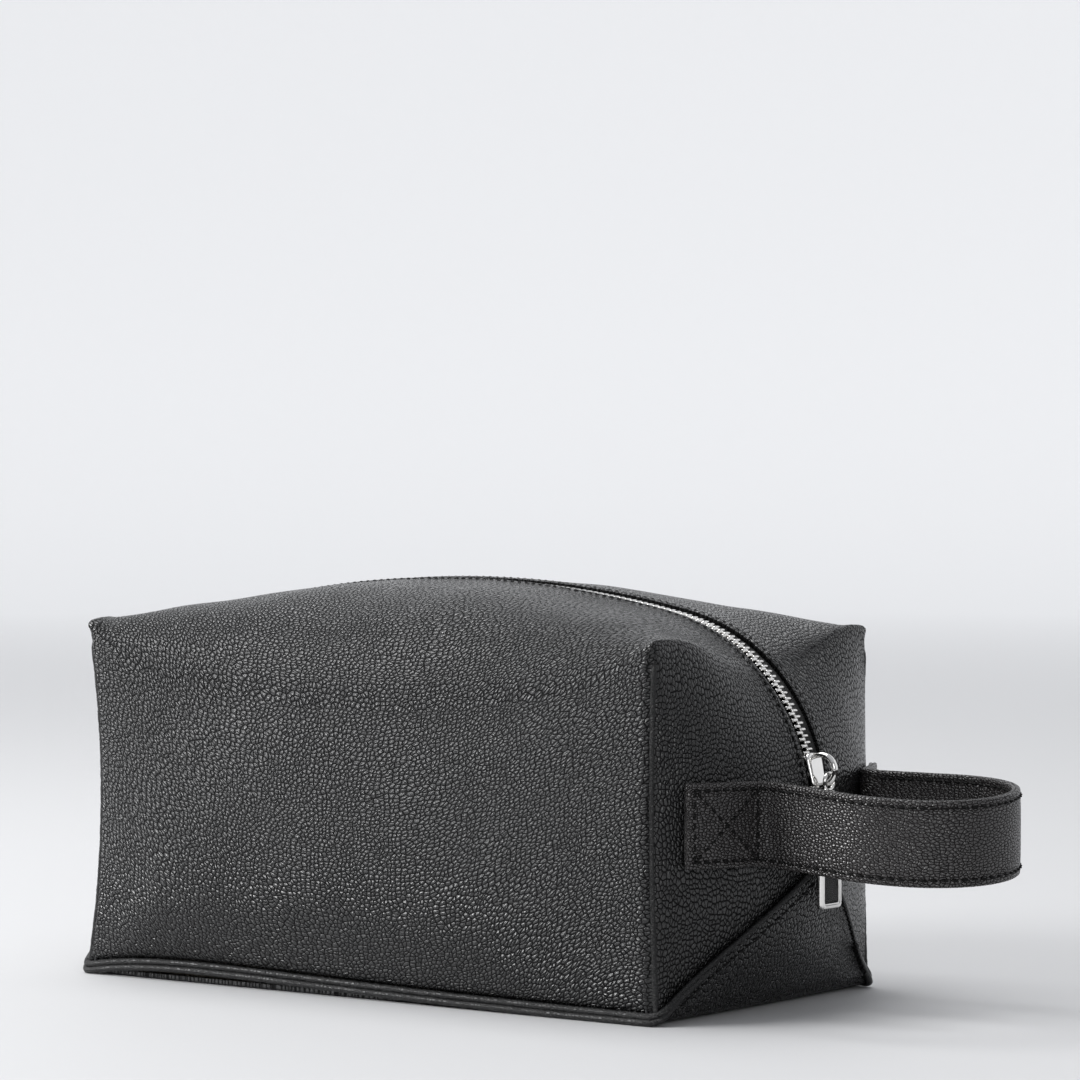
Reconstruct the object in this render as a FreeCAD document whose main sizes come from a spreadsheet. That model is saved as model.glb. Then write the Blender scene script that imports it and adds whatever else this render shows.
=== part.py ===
import FreeCAD, Part

import math
import os

import Sketcher
from FreeCAD import Placement, Rotation, Vector

# Leather makeup bag: boxy body with a zip that runs over the top and down both
# ends, and a strap handle on one end.  Millimetres, +Z up, origin at the centre
# of the base on the surface the bag stands on.  +X points to the handle end and
# -Y to the front.

DOC = FreeCAD.newDocument("makeup_bag")
SHEET = DOC.addObject("Spreadsheet::Sheet", "Dims")

# alias, value, what it is
DIMENSIONS = [
    ("half_length", 132.0, "base edge to centre along X"),
    ("half_width", 70.0, "front face to centre along Y"),
    ("end_reach", 155.0, "furthest point of an end wall along X"),
    ("end_reach_height", 69.4, "height of that furthest point"),
    ("shoulder_radius", 73.0, "zip line over the shoulder"),
    ("crown_radius", 455.0, "zip line along the top"),
    ("shoulder_angle", 12.4, "degrees from upright where crown meets shoulder"),
    ("seam_waist", 2.0, "how far the corner seam draws in at mid height"),
    ("ear_height", 134.0, "tip of each corner ear"),
    ("ear_reach", 131.0, "ear tip along X"),
    ("hinge_y", 60.0, "line where the top half starts to lift, from centre"),
    ("hinge_height_middle", 133.5, "height of that line at mid length"),
    ("hinge_height_end", 136.0, "height of that line at the shoulder"),
    ("face_height_middle", 107.0, "where the front face starts to curve, mid length"),
    ("face_height_shoulder", 116.0, "the same at the shoulder"),
    ("face_height_ear", 130.0, "the same at the ear"),
    ("flap_crown_middle", 146.5, "height of the top half midway, mid length"),
    ("flap_crown_end", 139.6, "height of the top half midway, at the shoulder"),
    ("zip_slot", 6.0, "leather edge to the zip's centre line"),
    ("leather", 1.8, "leather thickness"),
    ("lining_depth", 2.6, "outer skin to the lining"),
    ("lining", 0.6, "lining thickness"),
    ("lining_slot", 9.5, "lining edge to the zip's centre line"),
    ("lining_trim", 4.0, "wall lining stops short of the lift line by this much"),
    ("layer_gap", 0.3, "air between layers"),
    ("board_thickness", 2.0, "stiff base board"),
    ("flap_apex_height", 54.0, "top of the folded base triangle on each end"),
    ("piping_radius", 1.2, "rolled edge beside each corner seam"),
    ("welt_radius", 1.6, "rolled edge where base meets front and back"),
    ("tape_depth", 2.6, "outer skin to the zip tape"),
    ("tape_thickness", 0.5, "zip tape"),
    ("tape_width", 5.5, "visible and hidden tape beside the teeth"),
    ("teeth_depth", 1.9, "outer skin to the middle of the teeth"),
    ("tooth_pitch", 2.54, "spacing of teeth on one side"),
    ("tooth_length", 1.12, "tooth along the zip"),
    ("tooth_height", 2.2, "tooth through the zip"),
    ("tooth_reach", 3.0, "tooth root to the centre line"),
    ("tooth_lap", 0.5, "tooth tip past the centre line"),
    ("slider_angle", 76.5, "slider's place on the shoulder, degrees from upright"),
    ("slider_length", 13.5, "slider along the zip"),
    ("slider_width", 9.5, "slider across the zip"),
    ("slider_plate", 1.4, "each slider plate"),
    ("slider_mouth", 3.0, "gap between the slider plates"),
    ("bail_wire", 1.0, "radius of the bail's wire"),
    ("bail_radius", 5.4, "bail's rounded end"),
    ("bail_leg", 4.9, "bail centre above the zip's middle plane"),
    ("ring_radius", 3.0, "pull ring, centre of its wire"),
    ("ring_wire", 0.7, "pull ring wire radius"),
    ("pull_width", 13.0, "pull frame across"),
    ("pull_length", 41.0, "pull frame along"),
    ("pull_thickness", 3.0, "pull frame thickness"),
    ("pull_rim", 2.0, "rim of the pull frame"),
    ("strap_width", 30.0, "handle strap"),
    ("strap_ply", 1.5, "each of the strap's two leathers"),
    ("strap_height", 68.5, "middle of the strap above the floor"),
    ("strap_end", 61.0, "anchor edge from centre along Y"),
    ("strap_leave_angle", 18.7, "degrees round the end where the strap leaves it"),
    ("strap_bend", 7.0, "radius of the bend where the strap leaves the end"),
    ("loop_centre", 196.0, "centre of the loop's rounded tip along X"),
    ("loop_radius", 36.0, "loop's rounded tip, middle of the strap"),
    ("flex_reach", 152.0, "axis the free loop flexes about, along X"),
    ("flex_radius", 17.0, "from that axis to the end of the fixed anchors"),
    ("pocket_width", 150.0, "inside slip pocket"),
    ("pocket_height", 70.0, "inside slip pocket"),
    ("pocket_thickness", 1.0, "inside slip pocket"),
]


def fill_sheet():
    SHEET.Label = "Dims"
    for row, (alias, value, note) in enumerate(DIMENSIONS, start=1):
        SHEET.set("A%d" % row, str(value))
        SHEET.setAlias("A%d" % row, alias)
        SHEET.set("B%d" % row, note)
    DOC.recompute()


def dim(alias):
    return float(SHEET.get(alias))


fill_sheet()

HALF_LENGTH = dim("half_length")
HALF_WIDTH = dim("half_width")
LEATHER = dim("leather")
GAP = dim("layer_gap")
SHOULDER = Vector(dim("end_reach") - dim("shoulder_radius"), 0, dim("end_reach_height"))
SHOULDER_RADIUS = dim("shoulder_radius")
SHOULDER_ANGLE = math.radians(dim("shoulder_angle"))
CROWN_RADIUS = dim("crown_radius")
# the crown's centre lies on the line through the shoulder's centre, so the arcs are tangent
CROWN = Vector(0, 0, SHOULDER.z - SHOULDER.x / math.tan(SHOULDER_ANGLE))
TOP_JOIN_X = SHOULDER.x + SHOULDER_RADIUS * math.sin(SHOULDER_ANGLE)

PARTS = []


def keep(obj, label):
    """Name a sub-part and list it for export."""
    obj.Label = label
    PARTS.append(obj)
    return obj


def feature(label, shape, placement=None):
    obj = DOC.addObject("Part::Feature", label)
    obj.Shape = shape
    obj.Placement = placement or shape.Placement
    return keep(obj, label)


def mirrored(label, source, normal):
    """A twin of a sub-part on the other side of the bag."""
    obj = DOC.addObject("Part::Mirroring", label)
    obj.Source = source
    obj.Normal = normal
    obj.Base = Vector(0, 0, 0)
    return keep(obj, label)


# ---------------------------------------------------------------- outline of the bag

def lower_end_radius():
    """Radius of the arc from the base edge out to the end's furthest point."""
    rise = dim("end_reach_height")
    run = dim("end_reach") - HALF_LENGTH
    return (rise * rise + run * run) / (2 * run)


def end_x(height):
    """Half length of the bag along its centre line at a height."""
    above = height - SHOULDER.z
    if above < 0:
        radius = lower_end_radius()
        return dim("end_reach") - radius + math.sqrt(radius * radius - above * above)
    return SHOULDER.x + math.sqrt(SHOULDER_RADIUS ** 2 - above * above)


def seam_x(height):
    """Half length at the corner seam, drawn in at mid height."""
    along = height / dim("ear_height")
    straight = HALF_LENGTH + (dim("ear_reach") - HALF_LENGTH) * along
    return straight - dim("seam_waist") * 4 * along * (1 - along)


def end_wall_x(y, height):
    across = 1 - (y / HALF_WIDTH) ** 2
    return seam_x(height) + (end_x(height) - seam_x(height)) * across


def crown_z(x):
    return CROWN.z + math.sqrt(CROWN_RADIUS ** 2 - x * x)


def shoulder_point(angle, depth=0.0, y=0.0):
    """Point on the zip line round the right shoulder, angle in radians from upright."""
    radius = SHOULDER_RADIUS - depth
    return Vector(SHOULDER.x + radius * math.sin(angle), y, SHOULDER.z + radius * math.cos(angle))


def blend_along(x, middle, shoulder, ear):
    """A height that changes along the bag: mid length, shoulder, ear."""
    reach = abs(x)
    if reach <= TOP_JOIN_X:
        return middle + (shoulder - middle) * (reach / TOP_JOIN_X) ** 2
    share = (reach - TOP_JOIN_X) / (dim("ear_reach") - TOP_JOIN_X)
    return shoulder + (ear - shoulder) * share


# ---------------------------------------------------------------- helpers for thin shapes

def band_wire(outer, inner):
    """Closed outline of a thin curved strip, from three points on each of its skins."""
    edges = [
        Part.Arc(outer[0], outer[1], outer[2]).toShape(),
        Part.LineSegment(outer[2], inner[2]).toShape(),
        Part.Arc(inner[2], inner[1], inner[0]).toShape(),
        Part.LineSegment(inner[0], outer[0]).toShape(),
    ]
    return Part.Wire(edges)


def loft(wires):
    return Part.makeLoft(wires, True, True)


def arc_band(centre, inner_radius, outer_radius, start, end, y_low, y_high):
    """Strip bent round an axis along Y; angles in radians from upright towards +X."""
    def at(radius, angle):
        return Vector(centre.x + radius * math.sin(angle), y_low, centre.z + radius * math.cos(angle))

    middle = (start + end) / 2
    outer = [at(outer_radius, angle) for angle in (start, middle, end)]
    inner = [at(inner_radius, angle) for angle in (start, middle, end)]
    face = Part.Face(band_wire(outer, inner))
    return face.extrude(Vector(0, y_high - y_low, 0))


# ---------------------------------------------------------------- front and back

def face_curve(x):
    """Curve from the front wall to the lift line at x: its centre, radius and end angle."""
    wall_top = blend_along(x, dim("face_height_middle"), dim("face_height_shoulder"), dim("face_height_ear"))
    lift = blend_along(x, dim("hinge_height_middle"), dim("hinge_height_end"), dim("ear_height"))
    run = HALF_WIDTH - dim("hinge_y")
    rise = lift - wall_top
    radius = (run * run + rise * rise) / (2 * run)
    return Vector(x, -HALF_WIDTH + radius, wall_top), radius, math.atan2(rise, run - radius)


def face_section(x, skin, back, foot, trim):
    """Front face section at x between two depths: straight wall, then a curve to the lift line."""
    centre, radius, end_angle = face_curve(x)
    end_angle += trim / radius
    wall_top = centre.z

    def curve(depth):
        angles = (math.pi, (math.pi + end_angle) / 2, end_angle)
        reach = radius - depth
        return [centre + Vector(0, reach * math.cos(a), reach * math.sin(a)) for a in angles]

    outer = curve(skin)
    inner = curve(back)
    outer_foot = Vector(x, -HALF_WIDTH + skin, foot)
    inner_foot = Vector(x, -HALF_WIDTH + back, foot)
    edges = [
        Part.LineSegment(outer_foot, outer[0]).toShape(),
        Part.Arc(outer[0], outer[1], outer[2]).toShape(),
        Part.LineSegment(outer[2], inner[2]).toShape(),
        Part.Arc(inner[2], inner[1], inner[0]).toShape(),
        Part.LineSegment(inner[0], inner_foot).toShape(),
        Part.LineSegment(inner_foot, outer_foot).toShape(),
    ]
    return Part.Wire(edges)


def side_outline(inset, height):
    """Block whose ends follow the waisted corner seams."""
    def seam(side, level):
        return Vector(side * (seam_x(level) - inset), -HALF_WIDTH - 5, level)

    top = dim("ear_height")
    edges = [
        Part.LineSegment(seam(-1, 0), seam(1, 0)).toShape(),
        Part.Arc(seam(1, 0), seam(1, top / 2), seam(1, top)).toShape(),
        Part.LineSegment(seam(1, top), seam(1, top) + Vector(0, 0, height)).toShape(),
        Part.LineSegment(seam(1, top) + Vector(0, 0, height), seam(-1, top) + Vector(0, 0, height)).toShape(),
        Part.LineSegment(seam(-1, top) + Vector(0, 0, height), seam(-1, top)).toShape(),
        Part.Arc(seam(-1, top), seam(-1, top / 2), seam(-1, 0)).toShape(),
    ]
    return Part.Face(Part.Wire(edges)).extrude(Vector(0, HALF_WIDTH, 0))


def wall_panel(skin, back, foot, inset, trim):
    reach = HALF_LENGTH + 1
    stations = (-reach, -TOP_JOIN_X, -TOP_JOIN_X / 2, 0, TOP_JOIN_X / 2, TOP_JOIN_X, reach)
    sheet = loft([face_section(x, skin, back, foot, trim) for x in stations])
    return sheet.common(side_outline(inset, 10))


def make_walls():
    foot = LEATHER + dim("welt_radius") * 2 + GAP
    lining_skin = dim("lining_depth")
    lining_back = lining_skin + dim("lining")
    lining_foot = LEATHER + dim("board_thickness") + 3 * GAP + dim("lining")
    front = feature("front_panel", wall_panel(0, LEATHER, foot, 0, 0))
    mirrored("back_panel", front, Vector(0, 1, 0))
    sheet = wall_panel(lining_skin, lining_back, lining_foot, lining_back + 1, dim("lining_trim"))
    lining = feature("lining_front", sheet)
    mirrored("lining_back", lining, Vector(0, 1, 0))


# ---------------------------------------------------------------- top halves beside the zip

def flap_section(x, skin, back, zip_edge):
    centre, radius, end_angle = face_curve(x)
    start_angle = end_angle - GAP / radius
    outward = Vector(0, math.cos(start_angle), math.sin(start_angle))
    crown = blend_along(x, dim("flap_crown_middle"), dim("flap_crown_end"), dim("flap_crown_end"))
    points = [
        (centre + outward * radius, outward * -1),
        (Vector(x, -(dim("hinge_y") + zip_edge) / 2, crown), Vector(0, 0.15, -0.99)),
        (Vector(x, -zip_edge, crown_z(x)), Vector(0, 0, -1)),
    ]
    outer = [point + inward * skin for point, inward in points]
    inner = [point + inward * back for point, inward in points]
    return band_wire(outer, inner)


def flap(skin, back, zip_edge, side_gap):
    reach = TOP_JOIN_X - side_gap
    stations = (-reach, -reach / 2, 0, reach / 2, reach)
    return loft([flap_section(x, skin, back, zip_edge) for x in stations])


def make_flaps():
    skin = dim("lining_depth") + GAP
    back = skin + dim("lining")
    leather = feature("top_front", flap(0, LEATHER, dim("zip_slot"), GAP))
    mirrored("top_back", leather, Vector(0, 1, 0))
    lining = feature("lining_top_front", flap(skin, back, dim("lining_slot"), 4 * GAP))
    mirrored("lining_top_back", lining, Vector(0, 1, 0))


# ---------------------------------------------------------------- end walls

def gusset_wires(skin, back, foot, side_gap, zip_edge):
    """Sections of the front half of the right end, from the base up and over the shoulder."""
    wires = []
    side_y = -HALF_WIDTH + side_gap
    slot_start = dim("end_reach_height") + 0.5
    levels = (foot, 25, 50, slot_start, slot_start + 2, 85, 100, 118)
    for level in levels:
        inner_y = -zip_edge if level > slot_start else -GAP / 2
        middle_y = side_y / 2
        line = [
            Vector(seam_x(level), side_y, level),
            Vector(end_wall_x(middle_y, level), middle_y, level),
            Vector(end_x(level), inner_y, level),
        ]
        outer = [point - Vector(skin, 0, 0) for point in line]
        inner = [point - Vector(back, 0, 0) for point in line]
        wires.append(band_wire(outer, inner))
    lift_y = LEATHER - dim("hinge_y")
    ear = Vector(dim("ear_reach") - GAP, lift_y, dim("ear_height"))
    lift = Vector(TOP_JOIN_X + GAP, lift_y, dim("hinge_height_end"))
    zip_start = math.acos((levels[-1] - SHOULDER.z) / SHOULDER_RADIUS)
    turns = 4
    for turn in range(1, turns + 1):
        share = turn / turns
        angle = zip_start + (SHOULDER_ANGLE + GAP / SHOULDER_RADIUS - zip_start) * share
        inward = Vector(-math.sin(angle), 0, -math.cos(angle))
        start = ear + (lift - ear) * share
        end = shoulder_point(angle, 0, -zip_edge)
        middle = (start + end) / 2 - inward * 1.2
        line = [start, middle, end]
        outer = [point + inward * skin for point in line]
        inner = [point + inward * back for point in line]
        wires.append(band_wire(outer, inner))
    return wires


def make_ends():
    side_gap = LEATHER + GAP
    foot = LEATHER + GAP
    front = feature("right_end_front", loft(gusset_wires(0, LEATHER, foot, side_gap, dim("zip_slot"))))
    back = mirrored("right_end_back", front, Vector(0, 1, 0))
    mirrored("left_end_front", front, Vector(1, 0, 0))
    mirrored("left_end_back", back, Vector(1, 0, 0))

    skin = dim("lining_depth") + 2 * GAP
    inner = skin + dim("lining")
    lining_foot = LEATHER + dim("board_thickness") + 3 * GAP + dim("lining")
    lining_side = dim("lining_depth") + dim("lining") + 1
    half = loft(gusset_wires(skin, inner, lining_foot, lining_side, dim("lining_slot")))
    lining = feature("lining_right_end", Part.makeCompound([half, half.mirror(Vector(), Vector(0, 1, 0))]))
    mirrored("lining_left_end", lining, Vector(1, 0, 0))


# ---------------------------------------------------------------- base

def base_triangle():
    """The base folded up the right end: a triangle that lies on the end wall."""
    wires = []
    apex = dim("flap_apex_height")
    lay = 0.5
    lowest = 0.6
    tip_half = 1.5
    foot_half = HALF_WIDTH - 2 * tip_half
    steps = 6
    for step in range(steps + 1):
        level = lowest + (apex - lowest) * step / steps
        half = foot_half * (1 - level / apex) + tip_half
        line = [Vector(end_wall_x(y, level) + lay, y, level) for y in (-half, 0, half)]
        outer = [point + Vector(LEATHER, 0, 0) for point in line]
        wires.append(band_wire(outer, line))
    return loft(wires)


def make_base():
    plate = Part.makeBox(2 * HALF_LENGTH + 2, 2 * HALF_WIDTH - 2, LEATHER)
    plate.translate(Vector(-HALF_LENGTH - 1, -HALF_WIDTH + 1, 0))
    right = base_triangle()
    left = right.mirror(Vector(), Vector(1, 0, 0))
    feature("base_panel", plate.fuse([right, left]).removeSplitter())

    radius = dim("welt_radius")
    welt = DOC.addObject("Part::Cylinder", "welt_front")
    welt.setExpression("Radius", "Dims.welt_radius")
    welt.setExpression("Height", "2 * Dims.half_length - 4")
    start = Vector(-HALF_LENGTH + 2, -HALF_WIDTH, radius + LEATHER + GAP / 2)
    welt.Placement = Placement(start, Rotation(Vector(0, 1, 0), 90))
    keep(welt, "base_welt_front")
    mirrored("base_welt_back", welt, Vector(0, 1, 0))


def make_corner_piping():
    radius = dim("piping_radius")
    top = dim("ear_height") - LEATHER
    foot = LEATHER + radius + GAP
    side_y = -HALF_WIDTH - 0.2

    def seam(level):
        return Vector(seam_x(level) + radius + GAP, side_y, level)

    path = Part.Wire(Part.Arc(seam(foot), seam((foot + top) / 2), seam(top)).toShape())
    first = path.Edges[0]
    ring = Part.Wire(Part.makeCircle(radius, seam(foot), first.tangentAt(first.FirstParameter)))
    roll = path.makePipeShell([ring], True, False)
    front = feature("corner_piping_right_front", roll)
    back = mirrored("corner_piping_right_back", front, Vector(0, 1, 0))
    mirrored("corner_piping_left_front", front, Vector(1, 0, 0))
    mirrored("corner_piping_left_back", back, Vector(1, 0, 0))


# ---------------------------------------------------------------- flat stiffeners and pocket

def origin_plane(body, role):
    return next(item for item in body.Origin.OriginFeatures if item.Role == role)


def plate_body(label, role, width, height, thickness, placement, corner=None):
    """Rectangular plate sketched about its centre and padded evenly both ways."""
    body = DOC.addObject("PartDesign::Body", label)
    sketch = body.newObject("Sketcher::SketchObject", label + "_sketch")
    sketch.AttachmentSupport = [(origin_plane(body, role), "")]
    sketch.MapMode = "FlatFace"
    corners = [Vector(-10, -10, 0), Vector(10, -10, 0), Vector(10, 10, 0), Vector(-10, 10, 0)]
    for index in range(4):
        sketch.addGeometry(Part.LineSegment(corners[index], corners[(index + 1) % 4]), False)
    for index in range(4):
        sketch.addConstraint(Sketcher.Constraint("Coincident", index, 2, (index + 1) % 4, 1))
    for index, kind in enumerate(("Horizontal", "Vertical", "Horizontal", "Vertical")):
        sketch.addConstraint(Sketcher.Constraint(kind, index))
    sketch.addConstraint(Sketcher.Constraint("Symmetric", 0, 1, 2, 1, -1, 1))
    across = sketch.addConstraint(Sketcher.Constraint("DistanceX", 0, 1, 0, 2, 20))
    along = sketch.addConstraint(Sketcher.Constraint("DistanceY", 1, 1, 1, 2, 20))
    sketch.renameConstraint(across, "across")
    sketch.renameConstraint(along, "along")
    sketch.setExpression("Constraints.across", width)
    sketch.setExpression("Constraints.along", height)
    pad = body.newObject("PartDesign::Pad", label + "_pad")
    pad.Profile = sketch
    pad.Midplane = True
    pad.setExpression("Length", thickness)
    DOC.recompute()
    if corner:
        upright = [
            "Edge%d" % (number + 1)
            for number, edge in enumerate(pad.Shape.Edges)
            if abs(edge.Length - pad.Length.Value) < 1e-6
        ]
        fillet = body.newObject("PartDesign::Fillet", label + "_corners")
        fillet.Base = (pad, upright)
        fillet.setExpression("Radius", corner)
    body.Placement = placement
    DOC.recompute()
    return body


def make_stiffeners():
    board_level = LEATHER + GAP + dim("board_thickness") / 2
    board = plate_body("base_board", "XY_Plane", "2 * Dims.half_length - 12", "2 * Dims.half_width - 12",
                       "Dims.board_thickness", Placement(Vector(0, 0, board_level), Rotation()), "8 mm")
    keep(board, "base_board")
    lining_level = board_level + dim("board_thickness") / 2 + GAP + dim("lining") / 2
    floor = plate_body("lining_base", "XY_Plane", "2 * Dims.half_length - 12", "2 * Dims.half_width - 12",
                       "Dims.lining", Placement(Vector(0, 0, lining_level), Rotation()), "6 mm")
    keep(floor, "lining_base")


def make_pocket():
    lining_y = HALF_WIDTH - dim("lining_depth") - dim("lining")
    thickness = dim("pocket_thickness")
    above_base = 18
    binding_thickness = 1.2
    binding_overlap = 4
    centre = Vector(0, lining_y - GAP - thickness / 2, above_base + dim("pocket_height") / 2)
    panel = plate_body("pocket_panel", "XZ_Plane", "Dims.pocket_width", "Dims.pocket_height",
                       "Dims.pocket_thickness", Placement(centre, Rotation()), "5 mm")
    keep(panel, "pocket_panel")
    stand_off = thickness / 2 + 0.2 + binding_thickness / 2
    edge = centre + Vector(0, -stand_off, dim("pocket_height") / 2 - binding_overlap)
    binding = plate_body("pocket_binding", "XZ_Plane", "Dims.pocket_width - 12", "8 mm",
                         "1.2 mm", Placement(edge, Rotation()))
    keep(binding, "pocket_binding")


# ---------------------------------------------------------------- zip

def tooth(side, angle, centre, radius):
    """One metal tooth; side is -1 for the front row and +1 for the back row."""
    length = dim("tooth_length")
    height = dim("tooth_height")
    width = dim("tooth_reach") + dim("tooth_lap")
    low_y = -dim("tooth_reach") if side < 0 else -dim("tooth_lap")
    box = Part.makeBox(length, width, height, Vector(-length / 2, low_y, -height / 2))
    box.rotate(Vector(), Vector(0, 1, 0), math.degrees(angle))
    box.translate(Vector(centre.x + radius * math.sin(angle), 0, centre.z + radius * math.cos(angle)))
    return box


def tooth_row(side, centre, outer_radius, start, end):
    """Teeth of one row between two angles; the two rows sit half a pitch apart."""
    radius = outer_radius - dim("teeth_depth")
    step = dim("tooth_pitch") / radius
    first = start + step * (0.35 if side < 0 else 0.85)
    count = int((end - first) / step) + 1
    return [tooth(side, first + step * number, centre, radius) for number in range(count)]


def make_zip():
    outer = -dim("tape_depth")
    inner = outer - dim("tape_thickness")
    start_y = dim("tooth_reach") + 0.1
    end_y = start_y + dim("tape_width")
    stop_angle = math.radians(dim("slider_angle") + 8.0)
    lift = SHOULDER_ANGLE - GAP / CROWN_RADIUS
    side_gap = SHOULDER_ANGLE + GAP / SHOULDER_RADIUS

    crown_tape = arc_band(CROWN, CROWN_RADIUS + inner, CROWN_RADIUS + outer, -lift, lift, -end_y, -start_y)
    front_tape = feature("zip_tape_front", crown_tape)
    mirrored("zip_tape_back", front_tape, Vector(0, 1, 0))
    strip = arc_band(SHOULDER, SHOULDER_RADIUS + inner, SHOULDER_RADIUS + outer,
                     side_gap, stop_angle + 0.06, -end_y, -start_y)
    pair = Part.makeCompound([strip, strip.mirror(Vector(), Vector(0, 1, 0))])
    right_tape = feature("zip_tape_right_end", pair)
    mirrored("zip_tape_left_end", right_tape, Vector(1, 0, 0))

    for side, name in ((-1, "front"), (1, "back")):
        row = tooth_row(side, CROWN, CROWN_RADIUS, -lift, lift)
        feature("zip_teeth_" + name, Part.makeCompound(row))
    slider_end = math.radians(dim("slider_angle")) - 1.0 / SHOULDER_RADIUS
    rows = []
    for side in (-1, 1):
        rows += tooth_row(side, SHOULDER, SHOULDER_RADIUS, side_gap, slider_end)
    right_teeth = feature("zip_teeth_right_end", Part.makeCompound(rows))
    mirrored("zip_teeth_left_end", right_teeth, Vector(1, 0, 0))

    make_zip_stops(stop_angle)


def make_zip_stops(angle):
    height = dim("tooth_height") + 0.4
    place = shoulder_point(angle, dim("teeth_depth"))

    def block(low_y, width):
        box = Part.makeBox(2.4, width, height, Vector(-1.2, low_y, -height / 2))
        box.rotate(Vector(), Vector(0, 1, 0), math.degrees(angle))
        box.translate(place)
        return box

    pair = Part.makeCompound([block(-2.9, 1.8), block(1.1, 1.8)])
    feature("zip_top_stops", pair)
    bottom = block(-2.9, 5.8).mirror(Vector(), Vector(1, 0, 0))
    feature("zip_bottom_stop", bottom)


def slider_placement():
    """Frame of the slider: X along the zip away from its closed end, Z outward."""
    angle = math.radians(dim("slider_angle"))
    place = shoulder_point(angle, dim("teeth_depth"))
    return Placement(place, Rotation(Vector(0, 1, 0), math.degrees(angle)))


def make_slider():
    length = dim("slider_length")
    width = dim("slider_width")
    plate = dim("slider_plate")
    mouth = dim("slider_mouth")

    def plate_at(level):
        box = Part.makeBox(length, width, plate, Vector(-length / 2, -width / 2, level))
        upright = [edge for edge in box.Edges if abs(edge.Length - plate) < 1e-6]
        return box.makeFillet(2.2, upright)

    post_radius = 1.6
    post_place = 3.6
    bite = 0.2
    post = Part.makeCylinder(post_radius, mouth + 2 * bite, Vector(post_place, 0, -mouth / 2 - bite))
    body = plate_at(mouth / 2).fuse([plate_at(-mouth / 2 - plate), post]).removeSplitter()
    feature("zip_slider", body, slider_placement())

    reach = dim("bail_radius")
    level = dim("bail_leg")
    foot = mouth / 2 + plate - 2 * bite
    crown = Vector(0, 0, level + reach)
    path = Part.Wire([
        Part.LineSegment(Vector(-reach, 0, foot), Vector(-reach, 0, level)).toShape(),
        Part.Arc(Vector(-reach, 0, level), crown, Vector(reach, 0, level)).toShape(),
        Part.LineSegment(Vector(reach, 0, level), Vector(reach, 0, foot)).toShape(),
    ])
    ring = Part.Wire(Part.makeCircle(dim("bail_wire"), Vector(-reach, 0, foot), Vector(0, 0, 1)))
    wire = path.makePipeShell([ring], True, False)
    feature("slider_bail", wire.cut(body), slider_placement())


def pull_pivot():
    """Where the pull's ring hangs in the bail."""
    lean = math.radians(45)
    reach = dim("bail_radius") - dim("bail_wire") - dim("ring_wire") - 0.05
    local = Vector(reach * math.cos(lean), 0, dim("bail_leg") + reach * math.sin(lean))
    return slider_placement().multVec(local)


def make_pull():
    pivot = pull_pivot()
    ring_radius = dim("ring_radius")
    wire = dim("ring_wire")
    thickness = dim("pull_thickness")
    rim = dim("pull_rim")
    clip_outer = 1.9
    clip_inner = 1.35
    clip_width = 4
    clip_bite = 0.6
    bar = 1.7

    clip_drop = 2 * ring_radius + wire + clip_outer - clip_bite
    ring = Part.makeTorus(ring_radius, wire, pivot - Vector(0, 0, ring_radius), Vector(1, 0, 0))
    clip_start = pivot - Vector(0, clip_width / 2, clip_drop)
    clip = Part.makeCylinder(clip_outer, clip_width, clip_start, Vector(0, 1, 0))
    bore = Part.makeCylinder(clip_inner, clip_width, clip_start, Vector(0, 1, 0))
    feature("pull_connector", ring.fuse(clip).cut(bore).removeSplitter())

    top = pivot.z - clip_drop + bar / 2
    centre = Vector(pivot.x, 0, top - dim("pull_length") / 2)
    blank = plate_body("pull_blank", "YZ_Plane", "Dims.pull_width", "Dims.pull_length",
                       "Dims.pull_thickness", Placement(centre, Rotation()), "1.6 mm")
    slot_width = 5.2
    slot_height = 3.4
    slot = Part.makeBox(thickness + 2, slot_width, slot_height)
    slot.translate(Vector(pivot.x - thickness / 2 - 1, -slot_width / 2, top - bar - slot_height))
    thin = Part.makeBox(thickness, slot_width, bar + 1)
    relief = [
        thin.translated(Vector(pivot.x + bar / 2, -slot_width / 2, top - bar)),
        thin.translated(Vector(pivot.x - bar / 2 - thickness, -slot_width / 2, top - bar)),
    ]
    inlay_width = dim("pull_width") - 2 * rim
    inlay_length = dim("pull_length") - 2 * rim - bar - slot_height
    recess_low = top - dim("pull_length") + rim
    recess_depth = 0.8
    tools = [slot] + relief
    for side in (-1, 1):
        low_x = pivot.x + thickness / 2 - recess_depth if side > 0 else pivot.x - thickness / 2 - 1
        corner = Vector(low_x, -inlay_width / 2, recess_low)
        tools.append(Part.makeBox(recess_depth + 1, inlay_width, inlay_length, corner))
    cutter = DOC.addObject("Part::Feature", "pull_cutter")
    cutter.Shape = Part.makeCompound(tools)
    frame = DOC.addObject("Part::Cut", "pull_frame")
    frame.Base = blank
    frame.Tool = cutter
    keep(frame, "pull_frame")

    inlays = []
    inlay_thickness = 0.4
    play = 0.2
    for side in (-1, 1):
        low_x = pivot.x + side * (thickness / 2 - recess_depth / 2) - inlay_thickness / 2
        corner = Vector(low_x, -inlay_width / 2 + play, recess_low + play)
        inlays.append(Part.makeBox(inlay_thickness, inlay_width - 2 * play, inlay_length - 2 * play, corner))
    feature("pull_inlay", Part.makeCompound(inlays))


# ---------------------------------------------------------------- handle

def end_plan_circle():
    """Circle that the end wall follows in plan at strap height: centre x and radius."""
    reach = end_x(dim("strap_height"))
    corner = seam_x(dim("strap_height"))
    bulge = reach - corner
    radius = (bulge * bulge + HALF_WIDTH * HALF_WIDTH) / (2 * bulge)
    return reach - radius, radius


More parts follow.
